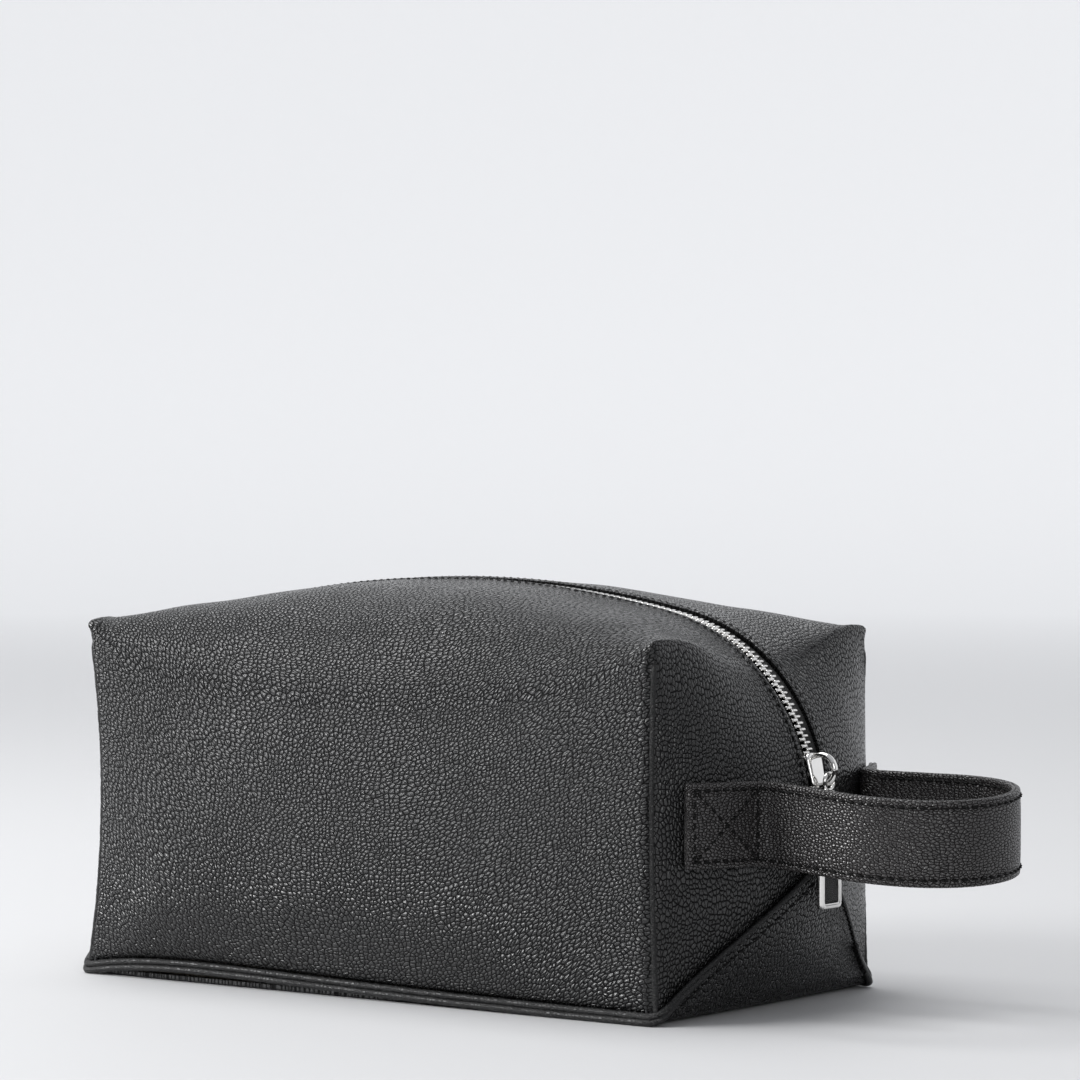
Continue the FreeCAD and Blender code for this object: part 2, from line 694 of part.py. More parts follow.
def strap_path(offset):
    """Front branch of the strap in plan: arcs for anchor, bend and loop tip, at an offset
    from the strap's middle towards the outside of the loop."""
    centre_x, wall_radius = end_plan_circle()
    lay = GAP + dim("strap_ply")
    bend = dim("strap_bend")
    leave = -math.radians(dim("strap_leave_angle"))
    anchor = -math.asin(dim("strap_end") / (wall_radius + lay))
    reach = wall_radius + lay
    bend_centre = Vector(centre_x + (reach + bend) * math.cos(leave), (reach + bend) * math.sin(leave), 0)
    tip_centre = Vector(dim("loop_centre"), 0, 0)
    span = tip_centre - bend_centre
    heading = math.atan2(span.y, span.x) - math.asin((dim("loop_radius") + bend) / span.Length)

    def on_wall(angle):
        return Vector(centre_x + (reach + offset) * math.cos(angle), (reach + offset) * math.sin(angle), 0)

    def left_of(angle, centre, radius):
        return centre + Vector(-math.sin(angle), math.cos(angle), 0) * radius

    turn_start = leave + math.pi / 2
    anchor_arc = [on_wall(angle) for angle in (anchor, (anchor + leave) / 2, leave)]
    bend_angles = (turn_start, (turn_start + heading) / 2, heading)
    bend_arc = [left_of(angle, bend_centre, bend - offset) for angle in bend_angles]
    tip_angles = (heading, (heading + math.pi / 2) / 2, math.pi / 2)
    tip_arc = [left_of(angle, tip_centre, -(dim("loop_radius") + offset)) for angle in tip_angles]
    return anchor_arc, bend_arc, tip_arc


def strap_ply_shape(low_offset, high_offset):
    """One leather of the strap's front branch, extruded to the strap's width."""
    edges = []
    sides = []
    for offset in (low_offset, high_offset):
        anchor, bend, tip = strap_path(offset)
        run = [
            Part.Arc(*anchor).toShape(),
            Part.Arc(*bend).toShape(),
            Part.LineSegment(bend[2], tip[0]).toShape(),
            Part.Arc(*tip).toShape(),
        ]
        edges += run
        sides.append((anchor[0], tip[2]))
    edges.append(Part.LineSegment(sides[0][0], sides[1][0]).toShape())
    edges.append(Part.LineSegment(sides[0][1], sides[1][1]).toShape())
    wire = Part.Wire(Part.__sortEdges__(edges))
    low = dim("strap_height") - dim("strap_width") / 2
    face = Part.Face(wire)
    return face.extrude(Vector(0, 0, dim("strap_width"))).translated(Vector(0, 0, low))


def make_handle():
    ply = dim("strap_ply")
    hair = 0.05
    # the fixed anchors end on a cylinder about the flex axis, and the free loop starts just outside it
    axis_start = Vector(dim("flex_reach"), -100, dim("strap_height"))
    inside = Part.makeCylinder(dim("flex_radius"), 200, axis_start, Vector(0, 1, 0))
    outside = Part.makeCylinder(dim("flex_radius") + GAP, 200, axis_start, Vector(0, 1, 0))
    bag_side = Part.makeBox(dim("flex_reach") - 100, 200, 200, Vector(100, -100, 0))
    # the outer leather is on the side away from the bag
    plies = {"outer": (hair, ply), "inner": (-ply, -hair)}
    for name, (low, high) in plies.items():
        branch = strap_ply_shape(low, high)
        anchor = feature("handle_anchor_front_" + name, branch.common(bag_side.fuse(inside)))
        mirrored("handle_anchor_back_" + name, anchor, Vector(0, 1, 0))
        half = branch.cut(bag_side.fuse(outside))
        other = half.mirror(Vector(), Vector(0, 1, 0))
        feature("handle_loop_" + name, half.fuse(other).removeSplitter())


def make_anchor_backing():
    """Thin stiffener inside the end wall behind each anchor."""
    skin = LEATHER + 0.8
    back = skin + 0.3
    outline_y = (2 - dim("strap_end"), -48, -36)
    low = dim("strap_height") - dim("strap_width") / 2 - 2
    wires = []
    for level in (low, dim("end_reach_height"), low + dim("strap_width") + 4):
        wall = [Vector(end_wall_x(y, level), y, level) for y in outline_y]
        outer = [point - Vector(skin, 0, 0) for point in wall]
        inner = [point - Vector(back, 0, 0) for point in wall]
        wires.append(band_wire(outer, inner))
    front = feature("anchor_backing_front", loft(wires))
    mirrored("anchor_backing_back", front, Vector(0, 1, 0))


# ---------------------------------------------------------------- build, check, export

def check_document():
    for obj in DOC.Objects:
        bad = [word for word in obj.State if word in ("Invalid", "Error")]
        if bad:
            raise RuntimeError("%s is %s" % (obj.Label, bad))
    for obj in PARTS:
        if obj.Shape.isNull() or not obj.Shape.isValid():
            raise RuntimeError("%s has no valid shape" % obj.Label)
        if not obj.Shape.Solids:
            raise RuntimeError("%s holds no solid" % obj.Label)


def export_parts():
    os.makedirs("parts", exist_ok=True)
    for obj in PARTS:
        obj.Shape.exportStep("parts/%s.step" % obj.Label)


make_walls()
make_flaps()
make_ends()
make_base()
make_corner_piping()
make_stiffeners()
make_pocket()
make_zip()
make_slider()
make_pull()
make_handle()
make_anchor_backing()
DOC.recompute()
check_document()
export_parts()
for sub_part in PARTS:
    box = sub_part.Shape.BoundBox
    print("%-28s %2d solid(s) %9.1f mm3  x %.1f..%.1f y %.1f..%.1f z %.1f..%.1f" % (
        sub_part.Label, len(sub_part.Shape.Solids), sub_part.Shape.Volume,
        box.XMin, box.XMax, box.YMin, box.YMax, box.ZMin, box.ZMax))
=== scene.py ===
import math

import bpy
import numpy as np
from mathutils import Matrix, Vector, noise


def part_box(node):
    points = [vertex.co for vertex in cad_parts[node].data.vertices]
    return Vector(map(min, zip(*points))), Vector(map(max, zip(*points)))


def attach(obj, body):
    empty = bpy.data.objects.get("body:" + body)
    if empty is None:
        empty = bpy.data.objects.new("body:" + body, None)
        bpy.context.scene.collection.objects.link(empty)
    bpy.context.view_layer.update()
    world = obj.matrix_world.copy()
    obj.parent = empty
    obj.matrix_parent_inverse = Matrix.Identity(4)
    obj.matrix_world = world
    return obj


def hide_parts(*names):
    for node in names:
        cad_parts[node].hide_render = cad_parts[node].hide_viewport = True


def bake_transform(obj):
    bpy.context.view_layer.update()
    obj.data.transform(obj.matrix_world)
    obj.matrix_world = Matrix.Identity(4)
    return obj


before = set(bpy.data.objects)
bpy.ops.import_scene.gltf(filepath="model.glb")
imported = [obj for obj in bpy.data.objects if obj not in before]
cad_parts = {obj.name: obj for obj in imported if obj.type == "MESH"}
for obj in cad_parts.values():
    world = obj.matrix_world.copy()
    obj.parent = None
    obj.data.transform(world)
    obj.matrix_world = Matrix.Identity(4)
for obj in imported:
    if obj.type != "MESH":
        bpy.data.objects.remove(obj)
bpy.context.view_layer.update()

# Leather makeup bag.  Shapes are worked out in millimetres in the frame's own axes
# (+X to the handle, -Y to the front) and scaled to metres when a mesh is made.

MM = 0.001


def cad_box(node):
    """Lowest and highest corner of a CAD node, in millimetres."""
    low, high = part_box(node)
    return np.array(low) / MM, np.array(high) / MM


# ---- driving sizes, mm

HALF_WIDTH = -cad_box("front_panel")[0][1]
END_REACH = 155.0
END_HEIGHT = 69.4
HALF_LENGTH = 132.0
EAR_HEIGHT = 135.0
EAR_REACH = 131.0
LEFT_WAIST = 7.0
RIGHT_WAIST = 1.5
SHOULDER_RADIUS = 73.0
SHOULDER_X = END_REACH - SHOULDER_RADIUS
SHOULDER_ANGLE = math.radians(12.4)
CROWN_RADIUS = 455.0
CROWN_Z = END_HEIGHT - SHOULDER_X / math.tan(SHOULDER_ANGLE)
LEATHER = 1.8
ZIP_SLOT = 6.0
TAPE_DEPTH = 2.6
TEETH_DEPTH = 1.9
TOOTH_PITCH = 2.54
SLIDER_ANGLE = math.radians(76.5)
TRIANGLE_APEX = 54.0
BASE_ARCH = 4.0
ARCH_PLACE = 0.2
FOOT = 3.4
STRAP_WIDTH = 30.0
STRAP_THICKNESS = 3.1
HALF_WORDS = {-1: "front", 1: "back"}
END_WORDS = {1: "right", -1: "left"}


def smoothstep(low, high, value):
    share = np.clip((np.asarray(value, float) - low) / (high - low), 0, 1)
    return share * share * (3 - 2 * share)


# ---- outline formulas

def run_lengths(path):
    """Length along a path at each of its points."""
    return np.concatenate([[0], np.cumsum(np.linalg.norm(np.diff(path, axis=0), axis=1))])


def unit(vectors):
    return vectors / np.maximum(np.linalg.norm(vectors, axis=1), 1e-9)[:, None]


def lower_end_radius():
    run = END_REACH - HALF_LENGTH
    return (END_HEIGHT ** 2 + run * run) / (2 * run)


def end_x(height):
    """Half length along the bag's centre line at a height."""
    above = np.asarray(height, float) - END_HEIGHT
    low_radius = lower_end_radius()
    low = END_REACH - low_radius + np.sqrt(np.maximum(low_radius ** 2 - above * above, 0))
    high = SHOULDER_X + np.sqrt(np.maximum(SHOULDER_RADIUS ** 2 - above * above, 0))
    return np.where(above < 0, low, high)


def seam_x(height, waist):
    along = np.clip(np.asarray(height, float) / EAR_HEIGHT, 0, 1)
    straight = HALF_LENGTH + (EAR_REACH - HALF_LENGTH) * along
    return straight - waist * 4 * along * (1 - along)


def side_waist(side):
    return RIGHT_WAIST if side > 0 else LEFT_WAIST


def end_wall_x(y, height, side=1):
    """Distance of the end wall from the middle of the bag at a place across it."""
    seam = seam_x(height, side_waist(side))
    return seam + (end_x(height) - seam) * (1 - (np.asarray(y) / HALF_WIDTH) ** 2)


def base_lift(x):
    """The front bottom edge arches up off the surface, most near the left."""
    along = (np.asarray(x, float) + HALF_LENGTH) / (2 * HALF_LENGTH) / ARCH_PLACE
    along = np.maximum(along, 0)
    return BASE_ARCH * along * np.exp(1 - along)


def zip_profile():
    """Points of the zip line in the XZ plane from the right base over to the left base."""
    heights = np.linspace(FOOT, END_HEIGHT, 40, endpoint=False)
    end = np.column_stack([end_x(heights), heights])
    turns = np.linspace(math.pi / 2, SHOULDER_ANGLE, 60, endpoint=False)
    shoulder = np.column_stack([SHOULDER_X + SHOULDER_RADIUS * np.sin(turns),
                                END_HEIGHT + SHOULDER_RADIUS * np.cos(turns)])
    half_crown = np.linspace(SHOULDER_ANGLE, 0, 60)
    crown = np.column_stack([CROWN_RADIUS * np.sin(half_crown), CROWN_Z + CROWN_RADIUS * np.cos(half_crown)])
    right = np.vstack([end, shoulder, crown])
    left = right[-2::-1] * [-1, 1]
    return np.vstack([right, left])


ZIP_LINE = zip_profile()
ZIP_ARC = run_lengths(ZIP_LINE)
ZIP_LENGTH = ZIP_ARC[-1]


def zip_point(arc):
    """Point and unit tangent of the zip line at a length along it."""
    x = np.interp(arc, ZIP_ARC, ZIP_LINE[:, 0])
    z = np.interp(arc, ZIP_ARC, ZIP_LINE[:, 1])
    step = 0.5
    ahead_x, ahead_z = [np.interp(arc + step, ZIP_ARC, values) - np.interp(arc - step, ZIP_ARC, values)
                        for values in ZIP_LINE.T]
    length = np.hypot(ahead_x, ahead_z)
    return x, z, ahead_x / length, ahead_z / length


def shoulder_arc(angle):
    """Length along the zip line of a point on the right shoulder."""
    x = SHOULDER_X + SHOULDER_RADIUS * math.sin(angle)
    z = END_HEIGHT + SHOULDER_RADIUS * math.cos(angle)
    return ZIP_ARC[np.argmin(np.hypot(ZIP_LINE[:, 0] - x, ZIP_LINE[:, 1] - z))]


# ---- mesh helpers

def grid_faces(rows, columns, start=0, closed=False):
    """Quads of a grid whose points run row by row."""
    faces = []
    span = columns if closed else columns - 1
    for row in range(rows - 1):
        for column in range(span):
            after = (column + 1) % columns
            low = start + row * columns
            faces.append((low + column, low + after, low + columns + after, low + columns + column))
    return faces


def make_mesh(name, points, faces, flat=None, smooth=True):
    """Object from millimetre points; flat gives each point's place on the cut leather."""
    mesh = bpy.data.meshes.new(name)
    mesh.from_pydata((np.asarray(points, float) * MM).tolist(), [], [tuple(int(i) for i in f) for f in faces])
    mesh.validate()
    if flat is not None:
        layer = mesh.uv_layers.new(name="flat")
        corners = np.empty(len(mesh.loops), int)
        mesh.loops.foreach_get("vertex_index", corners)
        layer.data.foreach_set("uv", (np.asarray(flat, float)[corners] * MM * 10).ravel())
    mesh.polygons.foreach_set("use_smooth", [smooth] * len(mesh.polygons))
    obj = bpy.data.objects.new(name, mesh)
    bpy.context.scene.collection.objects.link(obj)
    return obj


def flipped(faces):
    return [face[::-1] for face in faces]


def make_sheet(name, rows, flat, flip=False):
    """Object from a grid of points, row by row."""
    rows = np.asarray(rows)
    faces = grid_faces(len(rows), rows.shape[1])
    return make_mesh(name, rows.reshape(-1, 3), flipped(faces) if flip else faces, flat)


def settle(obj):
    """Applies an object's modifiers."""
    graph = bpy.context.evaluated_depsgraph_get()
    mesh = bpy.data.meshes.new_from_object(obj.evaluated_get(graph))
    obj.modifiers.clear()
    obj.data = mesh
    mesh.name = obj.name
    return obj


def thicken(obj, thickness, edge=0.5):
    """Gives a sheet its thickness inwards and rounds its cut edges."""
    solid = obj.modifiers.new("thickness", "SOLIDIFY")
    solid.thickness = thickness * MM
    solid.offset = -1
    solid.use_even_offset = False
    bevel = obj.modifiers.new("edge", "BEVEL")
    bevel.width = edge * MM
    bevel.segments = 2
    bevel.limit_method = "ANGLE"
    bevel.angle_limit = math.radians(55)
    bevel.use_clamp_overlap = True
    settle(obj)
    obj.data.polygons.foreach_set("use_smooth", [True] * len(obj.data.polygons))
    return obj


def lofted(rings):
    """Closed solid through rings of points, with flat ends."""
    count = len(rings[0])
    last = (len(rings) - 1) * count
    faces = grid_faces(len(rings), count, closed=True)
    faces += [tuple(range(count))[::-1], tuple(last + i for i in range(count))]
    return np.vstack(rings), faces


def tube(path, radius, sides=10, flatten=1.0, up=(0, 0, 1)):
    """Points and faces of a round sweep; radius may be one number or one per point."""
    path = np.asarray(path, float)
    radius = np.broadcast_to(np.asarray(radius, float), (len(path),))
    tangent = unit(np.gradient(path, axis=0))
    side = unit(np.cross(tangent, up))
    rise = np.cross(side, tangent)
    turn = np.linspace(0, 2 * math.pi, sides, endpoint=False)
    ring = (side[:, None, :] * np.cos(turn)[None, :, None]
            + rise[:, None, :] * (np.sin(turn) * flatten)[None, :, None])
    return lofted(path[:, None, :] + ring * radius[:, None, None])


def joined(parts):
    """Several (points, faces) as one."""
    points = []
    faces = []
    total = 0
    for part_points, part_faces in parts:
        points.append(np.asarray(part_points, float))
        faces += [tuple(total + i for i in face) for face in part_faces]
        total += len(part_points)
    return np.vstack(points), faces


def resample(path, spacing):
    path = np.asarray(path, float)
    arc = run_lengths(path)
    count = max(2, int(round(arc[-1] / spacing)) + 1)
    even = np.linspace(0, arc[-1], count)
    return np.column_stack([np.interp(even, arc, path[:, axis]) for axis in range(path.shape[1])])


def eased(path, rounds):
    """Polyline with its corners rounded; the two ends stay."""
    path = np.array(path, float)
    for _ in range(rounds):
        path[1:-1] += 0.5 * ((path[:-2] + path[2:]) / 2 - path[1:-1])
    return path


def paint(obj, material):
    obj.data.materials.clear()
    obj.data.materials.append(material)
    return obj


def place(obj, body, finish, *nodes):
    """Gives a piece its material, the CAD nodes it stands for and the body it rides on."""
    paint(obj, FINISH[finish])
    if nodes:
        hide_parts(*nodes)
    if body:
        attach(obj, body)
    return obj


def weigh(obj, weights=None):
    """Bakes a piece's placement into its mesh; each point's share of the opening is worked out when not
    given, and not used.
    """
    if weights is None:
        weights = mouth_share(rest_points(obj))
    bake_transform(obj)


def mouth_share(points):
    """How far a point follows the opening mouth: most at mid length beside the zip."""
    along = 1 - smoothstep(55, 134, np.abs(points[:, 0]))
    inward = (HALF_WIDTH - np.abs(points[:, 1])) * 0.6 + (points[:, 2] - 107) * 0.5
    inward = np.where(points[:, 2] > 90, inward, 0)
    return along * smoothstep(0, 30, inward)


def rest_points(obj):
    flat = np.empty(len(obj.data.vertices) * 3)
    obj.data.vertices.foreach_get("co", flat)
    return flat.reshape(-1, 3) / MM


# ---- materials

# Places of the corner seams on the cut hide: ten units to the metre.
SEAM_U = EAR_REACH / 100
SEAM_V = EAR_HEIGHT / 100
SAG_LIMIT = 1.22

class Nodes:
    """Short names for building a material's node tree."""

    def __init__(self, name):
        self.material = bpy.data.materials.new(name)
        self.material.use_nodes = True
        self.tree = self.material.node_tree
        self.shader = self.tree.nodes["Principled BSDF"]

    def feed(self, socket, value):
        """Links a socket to another node's output, or gives it a fixed value."""
        if isinstance(value, bpy.types.NodeSocket):
            self.tree.links.new(value, socket)
        else:
            socket.default_value = value

    def add(self, kind, inputs=None, **settings):
        node = self.tree.nodes.new("ShaderNode" + kind)
        for key, value in settings.items():
            setattr(node, key, value)
        for key, value in (inputs or {}).items():
            self.feed(node.inputs[key], value)
        return node

    def set(self, **inputs):
        """Fixed values or textures on the shader's own sockets."""
        for key, value in inputs.items():
            self.feed(self.shader.inputs[key.replace("_", " ")], value)

    def math(self, operation, *values):
        return self.add("Math", dict(enumerate(values)), operation=operation).outputs[0]

    def parts(self, place):
        return self.add("SeparateXYZ", {0: place}).outputs

    def flat_place(self, scale, sag=0.0):
        """Place on the cut leather or cloth, in units of the given size in mm; sag curves the grain."""
        place = self.add("UVMap", uv_map="flat").outputs["UV"]
        if sag:
            across = self.parts(place)
            reach = self.math("SMOOTH_MIN", self.math("ABSOLUTE", across["X"]), SAG_LIMIT, 0.3)
            curve = self.math("MULTIPLY", self.math("POWER", reach, 2.0), sag)
            lowered = self.math("SUBTRACT", across["Y"], curve)
            place = self.add("CombineXYZ", {"X": across["X"], "Y": lowered}).outputs[0]
        scale = (0.1 / (scale[0] * MM), 0.1 / (scale[1] * MM), 1)
        return self.add("Mapping", {"Vector": place, "Scale": scale}).outputs["Vector"]

    def relief(self):
        """How deep the grain is: full on the faces and the top, flatter on the ends and low down."""
        place = self.parts(self.add("UVMap", uv_map="flat").outputs["UV"])
        out = self.math("ABSOLUTE", place["X"])
        on_face = self.ranged(out, 1.25, 1.36, 1.0, 0.3)
        toward_handle = self.ranged(place["X"], 0.4, 1.1, 0.0, 0.3)
        up = self.ranged(self.math("ADD", place["Y"], toward_handle), 0.15, 0.65, 0.3, 1.0)
        return self.math("MULTIPLY", self.math("MULTIPLY", on_face, up), self.off_seam(place))

    def off_seam(self, place):
        """Grain pulled flat beside the corner seams."""
        out = self.math("ABSOLUTE", place["X"])
        from_side = self.math("ABSOLUTE", self.math("SUBTRACT", out, SEAM_U))
        from_end = self.math("ABSOLUTE", self.math("SUBTRACT", place["Y"], SEAM_V))
        on_end = self.math("MAXIMUM", self.ranged(from_end, 0.012, 0.05, 0.25, 1.0),
                           self.ranged(out, SEAM_U, SEAM_U + 0.02, 1.0, 0.0))
        return self.math("MULTIPLY", self.ranged(from_side, 0.012, 0.05, 0.25, 1.0), on_end)

    def solid_place(self, scale):
        """Place in the object, in units of the given size in mm."""
        place = self.add("TexCoord").outputs["Object"]
        cells = [1 / (size * MM) for size in scale]
        return self.add("Mapping", {"Vector": place, "Scale": cells}).outputs["Vector"]

    def noise(self, place, detail=2.0, roughness=0.5):
        return self.add("TexNoise", {"Vector": place, "Scale": 1.0, "Detail": detail, "Roughness": roughness})

    def warped(self, place, by, amount):
        """A place pushed about by a noise."""
        centred = self.add("VectorMath", {0: by.outputs["Color"], 1: (0.5, 0.5, 0.5)}, operation="SUBTRACT")
        scaled = self.add("VectorMath", {0: centred.outputs[0], "Scale": amount}, operation="SCALE")
        return self.add("VectorMath", {0: place, 1: scaled.outputs[0]}, operation="ADD").outputs[0]

    def ranged(self, value, low, high, to_low=0.0, to_high=1.0):
        limits = {"Value": value, "From Min": low, "From Max": high, "To Min": to_low, "To Max": to_high}
        return self.add("MapRange", limits, interpolation_type="SMOOTHSTEP").outputs["Result"]

    def mixed(self, share, first, second):
        node = self.add("Mix", {"Factor": share}, data_type="RGBA")
        colours = [socket for socket in node.inputs if socket.type == "RGBA"]
        for socket, colour in zip(colours, (first, second)):
            socket.default_value = (*colour, 1)
        return [socket for socket in node.outputs if socket.type == "RGBA"][0]

    def bumped(self, height, depth):
        bump = self.add("Bump", {"Height": height, "Distance": depth * MM, "Strength": 1.0})
        self.set(Normal=bump.outputs["Normal"])


def pebbled_leather(name, cell, stretch, depth, colours, roughness, flow=0.5, sag=0.0, gloss=0.5):
    """Tumbled leather: rounded pebbles with creases between them, pores and soft colour drift; the creases
    are also painted darker as painted shade.
    """
    n = Nodes(name)
    wander = n.noise(n.flat_place((60, 48)), detail=0.0)
    swirl = n.noise(n.flat_place((11, 9)), detail=0.0)
    bent = n.warped(n.flat_place((cell * stretch, cell), sag), wander, 11 * flow)
    bent = n.warped(bent, swirl, 2.2 * flow)
    cells = {"Vector": bent, "Scale": 1.0, "Randomness": 0.9}
    edges = n.add("TexVoronoi", cells, feature="DISTANCE_TO_EDGE", voronoi_dimensions="2D")
    domes = n.add("TexVoronoi", cells, feature="SMOOTH_F1", voronoi_dimensions="2D")
    domes.inputs["Smoothness"].default_value = 0.35
    crease = n.ranged(edges.outputs["Distance"], 0.0, 0.22)
    dome = n.ranged(domes.outputs["Distance"], 0.75, 0.05)
    pores = n.noise(n.flat_place((0.33, 0.33)), detail=3.0, roughness=0.6)
    body = n.math("MULTIPLY", n.math("ADD", n.math("MULTIPLY", dome, 0.6), 0.4), crease)
    height = n.math("ADD", body, n.math("MULTIPLY", pores.outputs["Fac"], 0.22))
    shine = n.ranged(body, 0.05, 0.5, 0.08, gloss)
    if sag:
        relief = n.relief()
        height = n.math("MULTIPLY", height, relief)
        shine = n.math("MULTIPLY", shine, n.math("ADD", n.math("MULTIPLY", relief, 0.5), 0.5))
    n.bumped(height, depth)
    drift = n.noise(n.flat_place((60, 45)), detail=3.0)
    # Base colour: soft random colour drift, with painted shade darkening the creases.
    drift_and_crease_shade = n.math("MULTIPLY", n.math("ADD", n.math("MULTIPLY", drift.outputs["Fac"], 0.5), 0.55), crease)
    smooth, rough = roughness
    n.set(Base_Color=n.mixed(drift_and_crease_shade, *colours), Roughness=n.ranged(body, 0.1, 0.95, rough, smooth),
          Specular_IOR_Level=shine)
    return n.material


def trim_leather(name, dark, light):
    """Thin skived leather on rolled edges, with fine wrinkles across it, their creases painted darker as
    painted shade.
    """
    n = Nodes(name)
    fine = n.noise(n.solid_place((0.7, 0.7, 0.7)), detail=4.0, roughness=0.65)
    bent = n.warped(n.solid_place((1.6, 1.6, 1.3)), fine, 0.5)
    wrinkles = n.add("TexVoronoi", {"Vector": bent, "Scale": 1.0}, feature="DISTANCE_TO_EDGE")
    crease = n.ranged(wrinkles.outputs["Distance"], 0.0, 0.16)
    n.bumped(n.math("ADD", crease, n.math("MULTIPLY", fine.outputs["Fac"], 0.5)), 0.16)
    # Base colour darker in the wrinkle creases: painted shade.
    n.set(Base_Color=n.mixed(crease, dark, light),
          Roughness=n.ranged(fine.outputs["Fac"], 0.3, 0.7, 0.3, 0.5),
          Specular_IOR_Level=0.4)
    return n.material


def woven_cloth(name, dark, light, thread, roughness):
    """Plain weave: over and under threads both ways, with fuzz."""
    n = Nodes(name)
    place = n.parts(n.flat_place((thread, thread)))
    warp, weft = [n.math("SINE", n.math("MULTIPLY", place[axis], math.pi)) for axis in "XY"]
    over = n.math("ABSOLUTE", n.math("MULTIPLY", warp, weft))
    fuzz = n.noise(n.flat_place((thread * 0.6, thread * 0.6)), detail=3.0).outputs["Fac"]
    n.bumped(n.math("ADD", over, n.math("MULTIPLY", fuzz, 0.5)), 0.12)
    n.set(Base_Color=n.mixed(over, dark, light), Sheen_Weight=0.15,
          Roughness=n.ranged(fuzz, 0.3, 0.7, roughness - 0.08, roughness + 0.08))
    return n.material


def thread_finish(name, colour):
    """Twisted polyester sewing thread."""
    n = Nodes(name)
    fibre = n.noise(n.solid_place((0.25, 0.25, 0.25))).outputs["Fac"]
    n.bumped(fibre, 0.06)
    n.set(Base_Color=n.mixed(fibre, colour, [c * 1.8 for c in colour]),
          Roughness=0.6, Specular_IOR_Level=0.15)
    return n.material


def polished_metal(name, colour, roughness, smudge):
    """Plated metal with faint smears and fine scratches."""
    n = Nodes(name)
    smears = n.noise(n.solid_place((6, 6, 9)), detail=4.0).outputs["Fac"]
    scratches = n.noise(n.solid_place((0.12, 0.12, 2.5))).outputs["Fac"]
    both = n.math("ADD", n.math("MULTIPLY", smears, 0.7), n.math("MULTIPLY", scratches, 0.3))
    n.bumped(scratches, 0.004)
    n.set(Base_Color=n.mixed(smears, colour, [c * 0.9 for c in colour]), Metallic=1.0,
          Roughness=n.ranged(both, 0.3, 0.7, roughness, roughness + smudge))
    return n.material


def pressed_board(name):
    """Grey-brown fibre board."""
    n = Nodes(name)
    fibre = n.noise(n.solid_place((1.2, 1.2, 1.2)), detail=5.0, roughness=0.7).outputs["Fac"]
    n.bumped(fibre, 0.1)
    n.set(Base_Color=n.mixed(fibre, (0.16, 0.13, 0.1), (0.3, 0.26, 0.2)), Roughness=0.85)
    return n.material


def studio_paper(name, colour):
    """Pale paper that glows with distance behind the object, and less in front of it."""
    n = Nodes(name)
    grain = n.noise(n.solid_place((4, 4, 4))).outputs["Fac"]
    place = n.parts(n.solid_place((1000, 1000, 1000)))
    across = n.math("ADD", n.math("POWER", place["X"], 2.0), n.math("POWER", place["Y"], 2.0))
    away = n.math("ADD", n.math("SQRT", across), place["Z"])
    facing = n.add("VectorMath", {0: n.solid_place((1000, 1000, 1000)), 1: (-0.59, 0.81, 0)},
                   operation="DOT_PRODUCT")
    lit = n.ranged(facing.outputs["Value"], -2.5, 0.5)
    n.set(Base_Color=n.mixed(grain, colour, [c * 0.985 for c in colour]),
          Roughness=0.7, Specular_IOR_Level=0.25,
          Emission_Color=(0.97, 0.98, 1.0, 1),
          Emission_Strength=n.math("MULTIPLY", n.ranged(away, 0.2, 4.5, 0.0, 0.5), lit))
    return n.material


def make_finishes():
    black = (0.004, 0.004, 0.0042)
    charcoal = (0.008, 0.008, 0.0082)
    strap_colours = ((0.008, 0.007, 0.007), (0.024, 0.021, 0.021))
    return {
        "body": pebbled_leather("leather_body", 1.4, 1.5, 0.95, (black, charcoal), (0.13, 0.45),
                                sag=0.3, gloss=1.0),
        "strap": pebbled_leather("leather_strap", 1.05, 1.5, 0.33, strap_colours,
                                 (0.24, 0.5), 0.4, gloss=0.9),
        "trim": trim_leather("leather_trim", (0.004, 0.004, 0.0042), (0.009, 0.009, 0.0093)),
        "lining": woven_cloth("lining_cloth", (0.016, 0.016, 0.018), (0.045, 0.045, 0.05), 0.45, 0.75),
        "binding": woven_cloth("binding_cloth", (0.012, 0.012, 0.013), (0.03, 0.03, 0.032), 0.6, 0.7),
        "tape": woven_cloth("zip_tape", (0.006, 0.006, 0.006), (0.017, 0.017, 0.018), 0.55, 0.8),
        "thread": thread_finish("thread", (0.002, 0.002, 0.002)),
        "teeth": polished_metal("zip_metal", (0.83, 0.82, 0.8), 0.14, 0.14),
        "nickel": polished_metal("polished_nickel", (0.87, 0.86, 0.84), 0.05, 0.08),
        "inlay": pebbled_leather("pull_inlay", 0.7, 1.2, 0.2, (black, charcoal), (0.4, 0.6), 0.2),
        "board": pressed_board("board"),
    }


FINISH = make_finishes()


# ---- the two half hides

END_STATIONS = 56
FACE_ROWS = 46
EAR_ANGLE = math.radians(43.7)
EAR_ARC = shoulder_arc(EAR_ANGLE)
FACE_BULGE = 6.5
BULGE_POWER = 4.5
LEFT_END_FULLNESS = 0.3
EAR_ROUNDING = 4.0
WALL_MIDDLE = 106
WALL_SHOULDER = 116
WALL_TURN = 98
CREST_MIDDLE = 138.5
CREST_TURN = 96
CREST_SHARE = 0.4
TOP_FLATNESS = (21.3, 35.3)
SEAM_ROLL = (3.0, 1.9)
CALM_EDGE = 14
HEM_WIDTH = 2.6
HEM_HEIGHT = 0.4
HEM_BOTTOM = 78
LINING_DEPTH = 3.4
LINING_SLOT = 8.8
EAR_RISE = 0.5


def graded(length, fine, step):
    """Places from 0 to 1 along a length: close together at both ends, even between."""
    edge = np.array([0, 0.6, 1.3, 2.2, 3.4, 5.0])[: 6 if fine else 1]
    middle_count = int((length - 2 * edge[-1]) / step)
    middle = np.linspace(edge[-1], length - edge[-1], middle_count + 1)[1:-1]
    return np.concatenate([edge, middle, (length - edge)[::-1]]) / length


